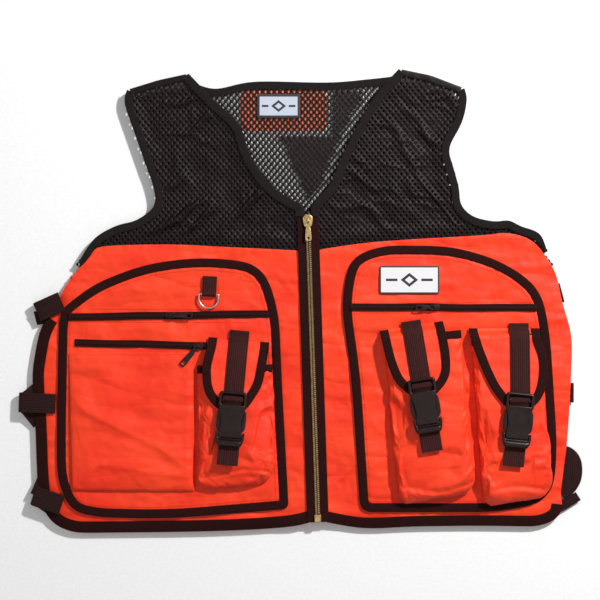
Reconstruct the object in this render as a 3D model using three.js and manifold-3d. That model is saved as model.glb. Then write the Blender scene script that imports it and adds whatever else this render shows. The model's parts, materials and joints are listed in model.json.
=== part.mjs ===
// A blaze orange sportsman's vest laid flat on its back: net yokes, nylon fronts with bound pockets, three
// flapped pouches closed by side-release buckles, a brass separating zipper and webbing side straps.
// Millimetres. +X is the viewer's right, +Y runs from hem to collar, +Z is up, away from the surface.
import * as THREE from 'three';
import { mergeVertices } from 'three/addons/utils/BufferGeometryUtils.js';
import Module from 'manifold-3d';

const wasm = await Module();
wasm.setup();

// ---------------------------------------------------------------- driving dimensions
const GAP = 0.3; // clearance between neighbouring pieces
const CLOTH = 1.8; // a lined and folded layer of nylon or net
const BACK_TOP = 3.4; // inside face of the back
const FRONT = 10; // inside face of the fronts, so that a torso fits between
const FRONT_TOP = FRONT + CLOTH;
const POCKET = FRONT_TOP + GAP; // large bound pockets lie on the fronts
const POCKET_TOP = POCKET + CLOTH;
const ON_POCKET = POCKET_TOP + GAP; // level of what is sewn on the large pockets
const TAPE = 1.2; // binding and zipper tape
const BINDING = 13; // visible width of the edge binding
const WEBBING = 25; // one-inch webbing
const WEB_THICK = 1.4;
const ZIP_TOP = [6, 119];
const ZIP_BOTTOM = [19, -269];
const PANEL_SLOT = 5; // a front stops this far from the middle of the zipper
const ZIP_HALF = 14; // middle of the chain to the outer edge of a tape
const SLOT = 0.9; // half the slot between the two rows of teeth
const TEETH = 3.2; // middle of the chain to the outer face of the teeth
const WALL = 1.6; // pouch wall
const FLAP_THICK = 1.6;
const MOUTH_DEPTH = 9.5; // a pouch at its mouth
const BELLY_DEPTH = 24; // a pouch at its deepest, near its bottom

// ---------------------------------------------------------------- materials
function paint(color, roughness, metalness = 0) {
  return new THREE.MeshStandardMaterial({ color, roughness, metalness });
}
const orange = paint(0xff4a1e, 0.6);
const net = paint(0x1b1718, 0.8);
const black = paint(0x241819, 0.85);
const plastic = paint(0x1d1a1b, 0.4);
const blackMetal = paint(0x1a1718, 0.35, 0.5);
const brass = paint(0xc9a961, 0.3, 1);
const steel = paint(0xb9b4ae, 0.3, 1);
const white = paint(0xe6e6ea, 0.8);

const group = new THREE.Group();

// ---------------------------------------------------------------- shape helpers
const vec = ([x, y]) => new THREE.Vector2(x, y);

// A smooth run through a few points, as a polyline of plain [x, y] pairs.
function smooth(points, steps = 6 * (points.length - 1)) {
  return new THREE.SplineCurve(points.map(vec)).getPoints(steps).map(({ x, y }) => [x, y]);
}

// A closed outline whose corners are rounded by quadratic curves: one radius for all, or one for each.
function rounded(points, radius) {
  const shape = new THREE.Shape();
  const count = points.length;
  points.forEach((corner, i) => {
    const here = vec(corner);
    const before = vec(points[(i + count - 1) % count]).sub(here);
    const after = vec(points[(i + 1) % count]).sub(here);
    const wanted = Array.isArray(radius) ? radius[i] : radius;
    const reach = Math.min(wanted, before.length() / 2.1, after.length() / 2.1);
    const start = before.setLength(reach).add(here);
    const end = after.setLength(reach).add(here);
    if (i === 0) shape.moveTo(start.x, start.y);
    else shape.lineTo(start.x, start.y);
    shape.quadraticCurveTo(here.x, here.y, end.x, end.y);
  });
  return shape;
}

const pointsOf = (shape) => shape.getPoints(4).map(({ x, y }) => [x, y]);

function plate(shape, z, thickness, curveSegments = 3) {
  const geometry = new THREE.ExtrudeGeometry(shape, { depth: thickness, bevelEnabled: false, curveSegments });
  return geometry.translate(0, 0, z);
}

const sheet = (points, z, thickness) => plate(new THREE.Shape(points.map(vec)), z, thickness);

// The polyline moved sideways: positive offsets go to the left of its direction.
function offset(points, distance) {
  return points.map((p, i) => {
    const a = points[Math.max(i - 1, 0)];
    const b = points[Math.min(i + 1, points.length - 1)];
    const along = vec(b).sub(vec(a)).normalize();
    return [p[0] - along.y * distance, p[1] + along.x * distance];
  });
}

// A closed outline drawn in by that much, with its sharp corners kept.
const drawnIn = (points, by) => new wasm.CrossSection([points]).offset(-by, 'Miter', 3).toPolygons()[0];

// A flat tape along an open polyline, from `from` to `to` to the left of it.
const band = (points, from, to, z, thickness) =>
  sheet([...offset(points, from), ...offset(points, to).reverse()], z, thickness);

function toSolid(geometry) {
  const bare = new THREE.BufferGeometry().setAttribute('position', geometry.getAttribute('position').clone());
  if (geometry.index) bare.setIndex(geometry.index.clone());
  const merged = mergeVertices(bare, 1e-4);
  return new wasm.Manifold(new wasm.Mesh({
    numProp: 3,
    vertProperties: new Float32Array(merged.attributes.position.array),
    triVerts: new Uint32Array(merged.index.array),
  }));
}

function toGeometry(solid) {
  const { vertProperties, triVerts } = solid.getMesh();
  const geometry = new THREE.BufferGeometry();
  geometry.setAttribute('position', new THREE.BufferAttribute(vertProperties, 3));
  geometry.setIndex(new THREE.BufferAttribute(triVerts, 1));
  return geometry;
}

const join = (...geometries) => toGeometry(geometries.map(toSolid).reduce((a, b) => a.add(b)));
const common = (a, b) => toGeometry(toSolid(a).intersect(toSolid(b)));
const cut = (from, ...tools) => toGeometry(tools.map(toSolid).reduce((a, b) => a.subtract(b), toSolid(from)));

function box(x0, x1, y0, y1, z0, z1) {
  const geometry = new THREE.BoxGeometry(x1 - x0, y1 - y0, z1 - z0);
  return geometry.translate((x0 + x1) / 2, (y0 + y1) / 2, (z0 + z1) / 2);
}

function add(name, geometry, material, parent = group) {
  const mesh = new THREE.Mesh(geometry, material);
  mesh.name = name;
  parent.add(mesh);
  return mesh;
}

// A sub-assembly with its own origin, turned about +Z.
function frameAt([x, y, z = 0], degrees, parent = group) {
  const frame = new THREE.Group();
  frame.position.set(x, y, z);
  frame.rotation.z = THREE.MathUtils.degToRad(degrees);
  parent.add(frame);
  return frame;
}

// A side profile of [y, z] points, extruded to `width` about x = 0.
function profiled(points, width) {
  const geometry = sheet(points, 0, width);
  geometry.applyMatrix4(new THREE.Matrix4().makeBasis(
    new THREE.Vector3(0, 1, 0), new THREE.Vector3(0, 0, 1), new THREE.Vector3(1, 0, 0),
  ));
  return geometry.translate(-width / 2, 0, 0);
}

// ---------------------------------------------------------------- edges of the garment
const zipFall = (ZIP_BOTTOM[0] - ZIP_TOP[0]) / (ZIP_TOP[1] - ZIP_BOTTOM[1]);
const zipX = (y) => ZIP_TOP[0] + (ZIP_TOP[1] - y) * zipFall;

const edges = {
  left: {
    side: -1,
    bound_from: -22, // the side is bound from here down; above, the nylon is turned under
    neck: smooth([[-143, 282], [-112, 250], [-80, 219], [-66, 181], [-42, 145], [-16, 126], [-1, 119]]),
    shoulder: [[-219, 262], [-180, 274]],
    armhole: smooth([
      [-219, 262], [-222, 246], [-210, 210], [-195, 167], [-186, 141], [-185, 117], [-207, 99], [-232, 92],
      [-256, 79], [-271, 61], [-299, 12],
    ], 44),
    seam: smooth([
      [-287.6, 29.5], [-280, 39], [-270.5, 48], [-263, 58], [-250, 66.5], [-170, 69], [-99, 66],
      [zipX(61) - PANEL_SLOT, 61],
    ]),
    side_edge: smooth([
      [-299, 12], [-314, -14], [-328, -38], [-335, -71], [-338, -95], [-336, -130], [-334, -165],
      [-332, -220], [-328, -252], [-316, -276], [-300, -287], [-282, -292],
    ]),
    hem: smooth([[-282, -292], [-122, -290], [-24, -285], [zipX(-277) - PANEL_SLOT, -277]]),
  },
  right: {
    side: 1,
    bound_from: -250,
    neck: smooth([[121, 288], [92, 256], [72, 223], [51, 182], [36, 146], [22, 129], [13, 119]]),
    shoulder: [[202, 264], [160, 280]],
    armhole: smooth([
      [202, 264], [205, 250], [199, 222], [183, 190], [188, 166], [195, 140], [198, 118], [214, 103],
      [241, 97], [258, 98.5], [273, 91], [289, 86], [298, 80], [303, 68], [310, 47],
    ], 44),
    seam: smooth([
      [308.6, 48], [302.5, 57], [296, 65.5], [288, 73], [272, 80.5], [250, 83.5], [225, 80.5], [90, 72],
      [zipX(61) + PANEL_SLOT, 61],
    ]),
    side_edge: smooth([
      [310, 47], [319, 27], [326, -4], [337, -45], [337, -90], [334, -150], [331, -185], [327, -217],
      [324, -245], [326, -262], [316, -276], [294, -284],
    ]),
    hem: smooth([[294, -284], [217, -283], [140, -284], [76, -286], [zipX(-277) + PANEL_SLOT, -277]]),
  },
};

// ---------------------------------------------------------------- back of the vest
const BACK_SEAM = 60;
const NET_LIFT = 1.6; // the net of the back lies over the tag patch
const inward = (points, by) => points.map(([x, y]) => [x - Math.sign(x) * by, y]);
const backSide = (edge) => inward(edge.armhole, 4).filter(([, y]) => y > BACK_SEAM + 2 && y < 255);
const backNeck = smooth([[-138, 272], [-109, 264], [-60, 273], [31, 272], [82, 276], [118, 280]]);

add('back_net_panel', sheet([
  ...backNeck, [194, 258], ...backSide(edges.right), [300, BACK_SEAM + GAP], [-266, BACK_SEAM + GAP],
  ...backSide(edges.left).reverse(), [-213, 256],
], NET_LIFT, CLOTH), net);
add('back_lower_panel', plate(rounded([
  [-266, BACK_SEAM], [-316, -30], [-322, -150], [-314, -270], [-270, -282], [280, -276], [318, -250],
  [324, -100], [300, BACK_SEAM],
], 30), 0, 2.6), orange);
add('back_tag_patch', plate(rounded([[-78, 212], [31, 212], [31, 264], [-78, 264]], 10), 0, 1.2), orange);
add('size_label', sheet([[-57, 228], [-3, 228], [-3, 258], [-57, 258]], BACK_TOP + GAP, 0.8), white);

// ---------------------------------------------------------------- fronts, yokes and their bindings
const BIND = FRONT_TOP + GAP; // level of the bindings
const BACK_BIND = BACK_TOP + GAP;

const EDGE_WIDTH = { left: 14, right: BINDING };

// Where a binding turns over the shoulder fold, it runs down from the front to the back.
const foldOver = (x, y, width) => box(x - width / 2, x + width / 2, y, y + 4, BACK_BIND, BIND + TAPE);

for (const [name, edge] of Object.entries(edges)) {
  const { side } = edge;
  const slot = (y) => zipX(y) + side * PANEL_SLOT;
  const yokeSide = edge.armhole.filter(([, y]) => y > edge.seam[0][1] + 2);
  const panelSide = edge.armhole.filter(([, y]) => y < edge.seam[0][1] - 2);
  add(`${name}_net_yoke`, sheet([
    ...edge.neck.slice(0, -1), [slot(116), 116],
    ...edge.seam.map(([x, y]) => [x, y + GAP]).reverse(),
    ...yokeSide.slice().reverse(), edge.shoulder[1],
  ], FRONT, CLOTH), net);
  const panel = [
    ...edge.seam, ...edge.hem.slice().reverse(), ...edge.side_edge.slice(1, -1).reverse(),
    ...panelSide.reverse(),
  ];
  add(`${name}_front_panel`, sheet(panel, FRONT, CLOTH), orange);
  const [shoulderX, shoulderY] = edge.shoulder[0];
  // The nylon covers the lower end of the armhole's tape, which tapers to nothing beside it.
  add(`${name}_armhole_binding`, cut(join(
    band(yokeSide, -side * BINDING, side, BIND, TAPE),
    foldOver(shoulderX - side * 6, shoulderY + 4.4, 10),
    band([
      [shoulderX - side * 2, shoulderY + 8], ...inward(edge.armhole.slice(0, 3), 2),
    ], -side * 10, 0, BIND, TAPE),
  ), sheet(panel, BIND - 1, TAPE + 2)), black);
  const around = [...edge.side_edge, ...edge.hem.slice(1, -3)].filter(([, y]) => y < edge.bound_from);
  add(`${name}_edge_binding`, band(around, -side * EDGE_WIDTH[name], side, BIND, TAPE), black);
}

// One tape binds the V of the neck and the back of the neck, and turns over at each shoulder.
const neckRun = ({ neck, side }) => {
  const [x, y] = neck[0];
  return band([[x + side, y + 6], ...neck], -side, side * BINDING, BIND, TAPE);
};
const shoulderTurn = ({ neck, side }) => foldOver(neck[0][0] - side * 2, neck[0][1] + 2, 10);
add('neck_binding', join(
  neckRun(edges.left), neckRun(edges.right), shoulderTurn(edges.left), shoulderTurn(edges.right),
  band([[-139, 286], ...backNeck.slice(2, -2), [120, 292]], 1, -9, BACK_BIND, TAPE),
), black);

// ---------------------------------------------------------------- bound pocket panels
const outlines = {
  left: [
    [-304, -30], [-306.5, -165], [-306, -226], [-289, -264], [-255, -271.5], [-170, -273.5],
    [-18, -261], [-27, -95], [-30, -15], [-50, 44], [-125, 53], [-200, 43], [-262, 18], [-300, -12],
  ],
  right: [
    [73, -265], [62, -95], [49, -5], [60, 52], [100, 67], [190, 66], [252, 46], [298, 13], [309, -45],
    [318, -187], [312, -250], [250, -265],
  ],
};
// Only the lower corner beside the zipper is sharp.
const ROUND = 40;
const cornersOf = {
  left: outlines.left.map(([x, y]) => (x === -18 && y === -261 ? 5 : ROUND)),
  right: outlines.right.map(([x, y]) => (x === 73 && y === -265 ? 12 : ROUND)),
};
const POCKET_TAPE = 10;
for (const [name, outline] of Object.entries(outlines)) {
  const outer = pointsOf(rounded(outline, cornersOf[name]));
  if (THREE.ShapeUtils.area(outer.map(vec)) < 0) outer.reverse();
  add(`${name}_pocket_panel`, sheet(drawnIn(outer, POCKET_TAPE + GAP), POCKET, CLOTH), orange);
  add(`${name}_pocket_binding`, cut(
    sheet(outer, POCKET, CLOTH), sheet(drawnIn(outer, POCKET_TAPE), POCKET - 1, CLOTH + 2),
  ), black);
}
// The cargo pocket is thin below its zipper and hangs full towards its bottom edge.
add('cargo_pocket', common(
  profiled([
    [-66, 0], [-66, 3], [-98, 4], [-150, 12], [-215, 12], [-241, 5], [-241, 0],
  ], 170).translate(-215, 0, ON_POCKET),
  plate(rounded([[-291, -60], [-140, -60], [-142, -238], [-262, -240], [-290, -200]], 24), ON_POCKET - 1, 20),
), orange);
add('badge', plate(rounded([[96, 7], [171, 7], [171, 42], [96, 42]], 3), ON_POCKET, TAPE), white);

// ---------------------------------------------------------------- zippers
// A pull hangs from the slider's bridge and lies flat along local -Y; its pivot is at the frame's origin.
function bridge(base, top, half) {
  return join(
    box(-0.9, 0.9, -half - 1, -half, base, top), box(-0.9, 0.9, half, half + 1, base, top),
    box(-0.9, 0.9, -half - 1, half + 1, top - 1, top),
  );
}

function pull(length, width) {
  const eye = cut(
    plate(rounded([[-3, -7], [3, -7], [3, 0.6], [-3, 0.6]], 1), -0.6, 1.2), box(-1.6, 1.6, -5.2, -0.6, -2, 2),
  );
  const blade = rounded([
    [-1.5, -6.5], [-width / 2, -length + 7], [-width / 2, -length], [width / 2, -length],
    [width / 2, -length + 7], [1.5, -6.5],
  ], 2);
  blade.holes.push(new THREE.Path().absarc(0, -length + 3.4, 1.6, 0, 2 * Math.PI));
  return join(eye, plate(blade, -0.6, 1.2, 2));
}

// The main chain, in a frame whose -Y runs down the front of the vest.
const zipLean = THREE.MathUtils.radToDeg(Math.atan2(ZIP_BOTTOM[0] - ZIP_TOP[0], ZIP_TOP[1] - ZIP_BOTTOM[1]));
const zipLength = Math.hypot(ZIP_BOTTOM[0] - ZIP_TOP[0], ZIP_TOP[1] - ZIP_BOTTOM[1]);
const BOX_END = 10; // length of the retainer box at the foot of the chain
const zip = frameAt([...ZIP_TOP, 0], zipLean);
for (const [name, side] of [['left', -1], ['right', 1]]) {
  const across = (from, to) => (side < 0 ? [-to, -from] : [from, to]);
  const [t0, t1] = across(SLOT, ZIP_HALF);
  const [c0, c1] = across(SLOT, TEETH);
  add(`${name}_zipper_half`, join(
    box(t0, t1, -zipLength - BOX_END, -14, FRONT_TOP + GAP, FRONT_TOP + GAP + TAPE),
    box(c0, c1, -zipLength + GAP, -8, FRONT_TOP + GAP, FRONT_TOP + 3.6),
    box(...across(SLOT, 7), -16, -8, FRONT_TOP + GAP, FRONT_TOP + GAP + TAPE),
  ), black, zip);
}
const chainTop = FRONT_TOP + 3.6;
const onTape = BIND + TAPE + GAP;
add('zipper_box', box(-4.2, 4.2, -zipLength - BOX_END, -zipLength, onTape, chainTop + 1), brass, zip);

// The plates of the main slider close over and under the chain; a post in the slot joins them.
const SLIDER_AT = -20;
const mainSlider = frameAt([0, SLIDER_AT, 0], 0, zip);
add('zipper_slider', join(
  plate(rounded([[-5, -8], [5, -8], [6.2, 7], [-6.2, 7]], 2), chainTop + GAP, 1.4),
  box(-4.2, 4.2, -8, 7, FRONT, FRONT_TOP - 0.3),
  box(-0.6, 0.6, 3, 7, FRONT + 1, chainTop + 1),
  bridge(chainTop + 1, chainTop + 5, 2).translate(0, -1, 0),
), brass, mainSlider);
add('zipper_pull', pull(25, 8).translate(0, -1, chainTop + 3), brass, mainSlider);

// A coil zipper: one sewn tape with a raised coil, and a slider whose flanges close around the coil.
const COIL_TOP = ON_POCKET + 2.4;
function coilZipper(name, from, to, at, pullAngle, pullLength, pullWidth) {
  const run = new THREE.Vector2().subVectors(vec(to), vec(from));
  const lean = THREE.MathUtils.radToDeg(run.angle());
  const line = frameAt([...from, 0], lean);
  const length = run.length();
  add(`${name}_zipper`, join(
    box(0, length, -4, 4, ON_POCKET, ON_POCKET + 1), box(3, length - 3, -1.6, 1.6, ON_POCKET, COIL_TOP),
  ), black, line);
  const slider = frameAt([at, 0, 0], 0, line);
  const turned = frameAt([0, 0, 0], pullAngle - lean + 90, slider);
  const pullTurn = THREE.MathUtils.degToRad(pullAngle - lean + 90);
  add(`${name}_zipper_slider`, join(
    plate(rounded([[-6, -3.4], [6, -2.9], [6, 2.9], [-6, 3.4]], 1), COIL_TOP + GAP, 1.2),
    box(-5, 5, -3, -1.9, ON_POCKET + 1 + GAP, COIL_TOP + 1),
    box(-5, 5, 1.9, 3, ON_POCKET + 1 + GAP, COIL_TOP + 1),
    bridge(COIL_TOP + 1, COIL_TOP + 4.6, 2).rotateZ(pullTurn),
  ), blackMetal, slider);
  add(`${name}_zipper_pull`, pull(pullLength, pullWidth).translate(0, 0, COIL_TOP + 2.7), blackMetal, turned);
}
coilZipper('left_chest', [-294, -22], [-40, -18], 129, 0, 28, 7);
coilZipper('right_chest', [58, -9.5], [295, -10.3], 107, 180, 24, 7);
coilZipper('cargo', [-285, -54], [-118, -58], 155, 229, 33, 8);

// ---------------------------------------------------------------- D-ring on its tab
const RING_BAR = 2.6;
const RING_Z = ON_POCKET + 3.4;
const ring = frameAt([-116.6, 6.5, RING_Z], -3);
const tabHole = new THREE.Path().absarc(0, 0, 2.4, 0, 2 * Math.PI);
const tab = rounded([
  [-3.3, -3.3], [3.3, -3.3], [22.5, -3.3], [22.5, -1.4], [3.6, -1.4], [3.2, 3.3], [-3.3, 3.3],
], 2);
tab.holes.push(tabHole);
const tabSolid = plate(tab, 0, 18, 10);
tabSolid.applyMatrix4(new THREE.Matrix4().makeBasis(
  new THREE.Vector3(0, 1, 0), new THREE.Vector3(0, 0, 1), new THREE.Vector3(1, 0, 0),
)).translate(-9, 0, 0);
add('d_ring_tab', tabSolid, black, ring);
const dOutline = (half, drop, top) => {
  const shape = new THREE.Shape().moveTo(-half, top).lineTo(-half, -drop);
  return shape.absarc(0, -drop, half, Math.PI, 2 * Math.PI).lineTo(half, top);
};
add('d_ring', cut(
  plate(dOutline(13.5, 6, RING_BAR / 2), -RING_BAR / 2, RING_BAR, 12),
  plate(dOutline(13.5 - RING_BAR, 6, -RING_BAR / 2), -4, 8, 12),
), steel, ring);

// ---------------------------------------------------------------- side straps, joining front to back
const STRAP = ON_POCKET; // the front leg passes over the edge binding
const UNDER_BACK = 2.9; // the back leg lies on the back panel
const half = WEBBING / 2;
const leftStraps = {
  left_side_strap_top: [[-310.5, -6.5], 24, 26],
  left_side_strap_middle: [[-319.24, -130], -2, 38],
  left_side_strap_bottom: [[-310.6, -253.5], -18, 30],
};
const leftPocket = pointsOf(rounded(outlines.left, cornersOf.left));
for (const [name, [[x, y], degrees, reach]] of Object.entries(leftStraps)) {
  // The front leg is sewn inside the edge; the strap passes around the side and under to the back panel.
  // It stops at the edge of the pocket.
  const strap = join(
    box(-reach, 8, -half, half, STRAP, STRAP + WEB_THICK),
    box(-reach, -reach + WEB_THICK, -half, half, UNDER_BACK, STRAP + WEB_THICK),
    box(-reach, 14, -half, half, UNDER_BACK, UNDER_BACK + WEB_THICK),
  ).rotateZ(THREE.MathUtils.degToRad(degrees)).translate(x, y, 0);
  add(name, cut(strap, sheet(leftPocket, FRONT_TOP, 8)), black);
}
// On the right the straps are sewn between front and back, and only their folded ends stand out at the edge.
const rightStraps = { right_side_strap_top: [[323, 8], 15], right_side_strap_middle: [[337.5, -117], 0] };
for (const [name, [at, degrees]] of Object.entries(rightStraps)) {
  const across = frameAt([...at, 0], degrees);
  const upper = FRONT - GAP;
  add(name, join(
    box(-20, 4.5, -half, half, upper - WEB_THICK, upper),
    box(4.5 - WEB_THICK, 4.5, -half, half, UNDER_BACK, upper),
    box(-20, 4.5, -half, half, UNDER_BACK, UNDER_BACK + WEB_THICK),
  ), black, across);
}
// The lowest one hangs out as a flat loop of webbing and returns to the end of the hem.
const LOOP = 3.8;
const loopLine = smooth([
  [312, -195], [326, -195], [335.5, -199], [339, -209], [339, -222], [334.5, -232], [322, -243],
], 30);
add('right_side_strap_bottom', join(
  band(loopLine, -half, half, LOOP, WEB_THICK),
  band([[318, -264], [332, -256], [346, -247]], -6, 6, LOOP, 2 * WEB_THICK),
  box(318, 326, -262, -238, LOOP, WEB_THICK + LOOP),
), black);

// ---------------------------------------------------------------- pouches
// The flap, strap and buckle share a frame at the sewn end of the strap, with -Y down the pouch. The bag has
// its own, at the middle of its mouth. `fold` and `rim` are the distances down to the flap's sewn edge and to
// the mouth, and the strap is as long as `buckle`, where the socket starts. `flap` runs down the flap's left
// side and up its right. `turn` is how far the buckle swings out of line with the strap, in degrees.
const pouches = {
  pouch_1: {
    at: [-79, -45], lean: -5, fold: 7, rim: 37, buckle: 70,
    bag: { at: [-84.3, -82], lean: 1, width: 96, length: 152 },
    flap: [
      [-36, -7], [-41.8, -42], [-38.5, -66], [-32.4, -79], [-20, -91], [-8, -95], [8, -95], [17.5, -89.5],
      [25, -76], [33.7, -59], [35.7, -39], [37.4, -15], [37.8, -5],
    ],
  },
  pouch_2: {
    at: [136, -33], lean: 9, fold: 0, rim: 10, buckle: 66,
    bag: { at: [149.6, -43], lean: 5.5, width: 98, length: 208 },
    flap: [
      [-40, 1], [-38.6, -24], [-36.6, -43.5], [-31, -66.5], [-14, -86], [-3, -91], [10, -91], [28.7, -77.6],
      [37.4, -64], [40.1, -43.5], [40, -16], [37.7, 1],
    ],
  },
  pouch_3: {
    at: [270, -36], lean: 0, fold: 0, rim: 10, buckle: 80, turn: -6,
    bag: { at: [253.6, -45.4], lean: 4.5, width: 88, length: 209 },
    flap: [
      [-64, 1], [-56.6, -25], [-47, -50], [-36, -74], [-18.5, -97], [-6, -102], [10, -101], [24.7, -88.6],
      [31, -74], [34.3, -52], [32.7, -31], [24.7, -12], [24, 1],
    ],
  },
};

const bagSlope = ({ length }) => Math.atan2(BELLY_DEPTH - MOUTH_DEPTH, length - 38);

function bagSolid({ width, length }, slope) {
  const belly = length - 38;
  const depthAt = (v) => MOUTH_DEPTH + v * Math.tan(slope);
  const outer = profiled([
    [-length, 0], [0, 0], [0, MOUTH_DEPTH], [-belly, depthAt(belly)], [-length + 8, depthAt(belly) - 6],
    [-length, 10],
  ], width);
  const inner = profiled([
    [-length + WALL, WALL], [5, WALL], [5, depthAt(-5) - WALL], [-belly, depthAt(belly) - WALL],
    [-length + 9, depthAt(belly) - 6 - WALL], [-length + WALL, 10 - WALL],
  ], width - 2 * WALL);
  const side = width / 2;
  const plan = (inset, top) => plate(rounded([
    [-side + inset, -length + inset], [side - inset, -length + inset], [side - inset, top],
    [-side + inset, top],
  ], 22), -1, 40);
  const shell = common(outer, plan(0, 60));
  return cut(shell, common(inner, plan(WALL, 80)));
}

// The line under a flap: sewn to the panel above the mouth, up over the rim and along the front of the bag.
const FLAP_LIFT = 0.8; // the flap leans a little more or less than the bag under it
function flapLine({ rim, fold }, slope) {
  const lift = MOUTH_DEPTH + FLAP_LIFT;
  const knee = rim - 3.5;
  const end = 120;
  const rise = knee - fold - 1.2;
  return [
    [0, 0], [rise - knee, 0], [0.76 * rise - knee, 0.12 * lift], [0.33 * rise - knee, 0.87 * lift],
    [-knee, lift],
    [-end, lift + (end - knee) * Math.tan(slope)],
  ];
}

function flapSolid(pouch, slope) {
  const low = flapLine(pouch, slope);
  const side = profiled([...low, ...offset(low, -FLAP_THICK).reverse()], 150);
  return common(side, plate(rounded(pouch.flap, 8), -1, 60));
}

// The strap is folded under and sewn above the flap, then follows the flap down to the socket.
function strapSolid(pouch, slope) {
  const line = offset(flapLine(pouch, slope), -FLAP_THICK - GAP);
  const over = offset(flapLine(pouch, slope), -FLAP_THICK - GAP - WEB_THICK);
  const top = over.filter(([y], i) => i > 1 || y < -4);
  const folded = [[8, 0], [0.4, 0]];
  const whole = profiled([...folded, ...line, ...top.reverse(), [8, top[top.length - 1][1]]], WEBBING);
  const turn = THREE.MathUtils.degToRad(pouch.turn ?? 0);
  const cornerRise = (WEBBING / 2) * Math.abs(Math.sin(turn));
  return common(whole, box(-20, 20, -pouch.buckle + GAP + cornerRise, 20, -1, 60));
}

// The buckle lies in a frame tilted to the bag's front: its origin is at the top of the socket, -Y runs down
// and z = 0 is underneath.
const SOCKET_END = 57;
const BUCKLE_HALF = 17.5;
function socketSolid() {
  const frame = cut(
    plate(rounded([[-BUCKLE_HALF, -24], [BUCKLE_HALF, -24], [BUCKLE_HALF, 0], [-BUCKLE_HALF, 0]], 3), 0, 7.6),
    box(-13.6, 13.6, -8, -3, -1, 9), box(-13.6, 13.6, -16, -11, -1, 9), box(-13.6, 13.6, -16, -3, 5, 9),
  );
  const sleeve = rounded([
    [-BUCKLE_HALF, -20], [-16.5, -28], [-12.5, -42], [-13.5, -SOCKET_END], [13.5, -SOCKET_END], [12.5, -42],
    [16.5, -28], [BUCKLE_HALF, -20],
  ], 4);
  return join(frame, plate(sleeve, 0, 1.8), plate(sleeve, 5.8, 1.8));
}

function plugSolid() {
  const base = cut(
    join(
      plate(rounded([
        [-17.5, -62], [-14, -68], [14, -68], [17.5, -62], [18, -50], [14, -50], [14, -57.5], [-14, -57.5],
        [-14, -50], [-18, -50],
      ], 1), 0.4, 6.6),
      box(-12, 12, -58.5, -56, 2.3, 5.3),
    ),
    box(-13.4, 13.4, -65.5, -61, -1, 9),
  );
  const arm = rounded([
    [8.5, -57], [11.5, -57], [13.5, -48], [17.6, -44], [17.6, -33], [14, -28], [12, -29], [12.6, -44],
    [9.6, -49],
  ], 2);
  const right = plate(arm, 2.3, 3);
  const left = toGeometry(toSolid(right).mirror([1, 0, 0]));
  return join(base, right, left, box(-3, 3, -58, -30, 2.3, 5.3));
}

for (const [name, pouch] of Object.entries(pouches)) {
  const { at, lean, buckle, turn = 0, bag } = pouch;
  const slope = bagSlope(bag);
  const here = frameAt([...at, ON_POCKET], lean);
  add(name, bagSolid(bag, slope), orange, frameAt([...bag.at, ON_POCKET], bag.lean));
  add(`${name}_flap`, flapSolid(pouch, slope), orange, here);
  add(`${name}_strap`, strapSolid(pouch, slope), black, here);
  // The buckle lies in a plane parallel to the bag's front, level with the underside of the strap.
  const [kneeY, kneeZ] = offset(flapLine(pouch, slope), -FLAP_THICK - GAP).at(-2);
  const release = frameAt([0, -buckle, kneeZ + (buckle + kneeY) * Math.tan(slope)], turn, here);
  release.rotation.x = -slope;
  add(`${name}_buckle_socket`, socketSolid(), plastic, release);
  add(`${name}_buckle_plug`, plugSolid(), plastic, release);
  add(`${name}_webbing`, box(-13, 13, -91, -58, -2.2, -0.8), black, release);
}

// The origin is the middle of the footprint, on the surface that the vest lies on.
const bounds = new THREE.Box3().setFromObject(group, true);
const middle = bounds.getCenter(new THREE.Vector3());
group.position.set(-middle.x, -middle.y, -bounds.min.z);

export default group;
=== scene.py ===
"""A blaze orange sportsman's vest laid flat on its back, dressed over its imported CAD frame.

Lengths in the code are millimetres unless a name says otherwise; meshes are written in metres.
+X is the viewer's right, +Y runs from the hem to the collar and +Z is up, out of the front.
"""
import json
import math
from functools import partial

import bmesh
import bpy
import numpy as np
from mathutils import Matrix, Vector
from mathutils.bvhtree import BVHTree
from mathutils.geometry import delaunay_2d_cdt


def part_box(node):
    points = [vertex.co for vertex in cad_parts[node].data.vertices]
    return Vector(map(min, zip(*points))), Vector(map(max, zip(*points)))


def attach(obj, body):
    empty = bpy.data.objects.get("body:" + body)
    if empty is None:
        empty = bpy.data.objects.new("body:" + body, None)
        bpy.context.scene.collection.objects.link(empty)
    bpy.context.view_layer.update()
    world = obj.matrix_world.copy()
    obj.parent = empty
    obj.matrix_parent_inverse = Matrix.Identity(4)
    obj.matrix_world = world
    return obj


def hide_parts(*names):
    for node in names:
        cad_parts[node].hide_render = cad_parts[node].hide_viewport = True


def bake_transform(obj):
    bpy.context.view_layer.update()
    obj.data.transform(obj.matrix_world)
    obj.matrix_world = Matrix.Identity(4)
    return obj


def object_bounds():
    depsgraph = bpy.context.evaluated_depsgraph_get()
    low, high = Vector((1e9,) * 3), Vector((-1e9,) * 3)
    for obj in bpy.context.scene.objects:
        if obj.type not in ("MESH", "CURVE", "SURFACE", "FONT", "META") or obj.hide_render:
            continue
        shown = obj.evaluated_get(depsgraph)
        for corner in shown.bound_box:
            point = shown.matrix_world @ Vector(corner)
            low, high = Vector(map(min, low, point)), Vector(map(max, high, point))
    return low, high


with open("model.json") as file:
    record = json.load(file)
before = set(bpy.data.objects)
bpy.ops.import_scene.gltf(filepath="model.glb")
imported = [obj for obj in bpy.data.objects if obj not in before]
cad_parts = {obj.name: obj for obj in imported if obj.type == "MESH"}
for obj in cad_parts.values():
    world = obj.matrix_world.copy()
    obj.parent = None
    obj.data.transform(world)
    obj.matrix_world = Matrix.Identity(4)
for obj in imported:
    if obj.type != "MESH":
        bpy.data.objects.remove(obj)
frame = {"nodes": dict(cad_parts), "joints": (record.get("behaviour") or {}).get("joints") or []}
CAD_BOX = [list(corner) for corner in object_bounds()]
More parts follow.
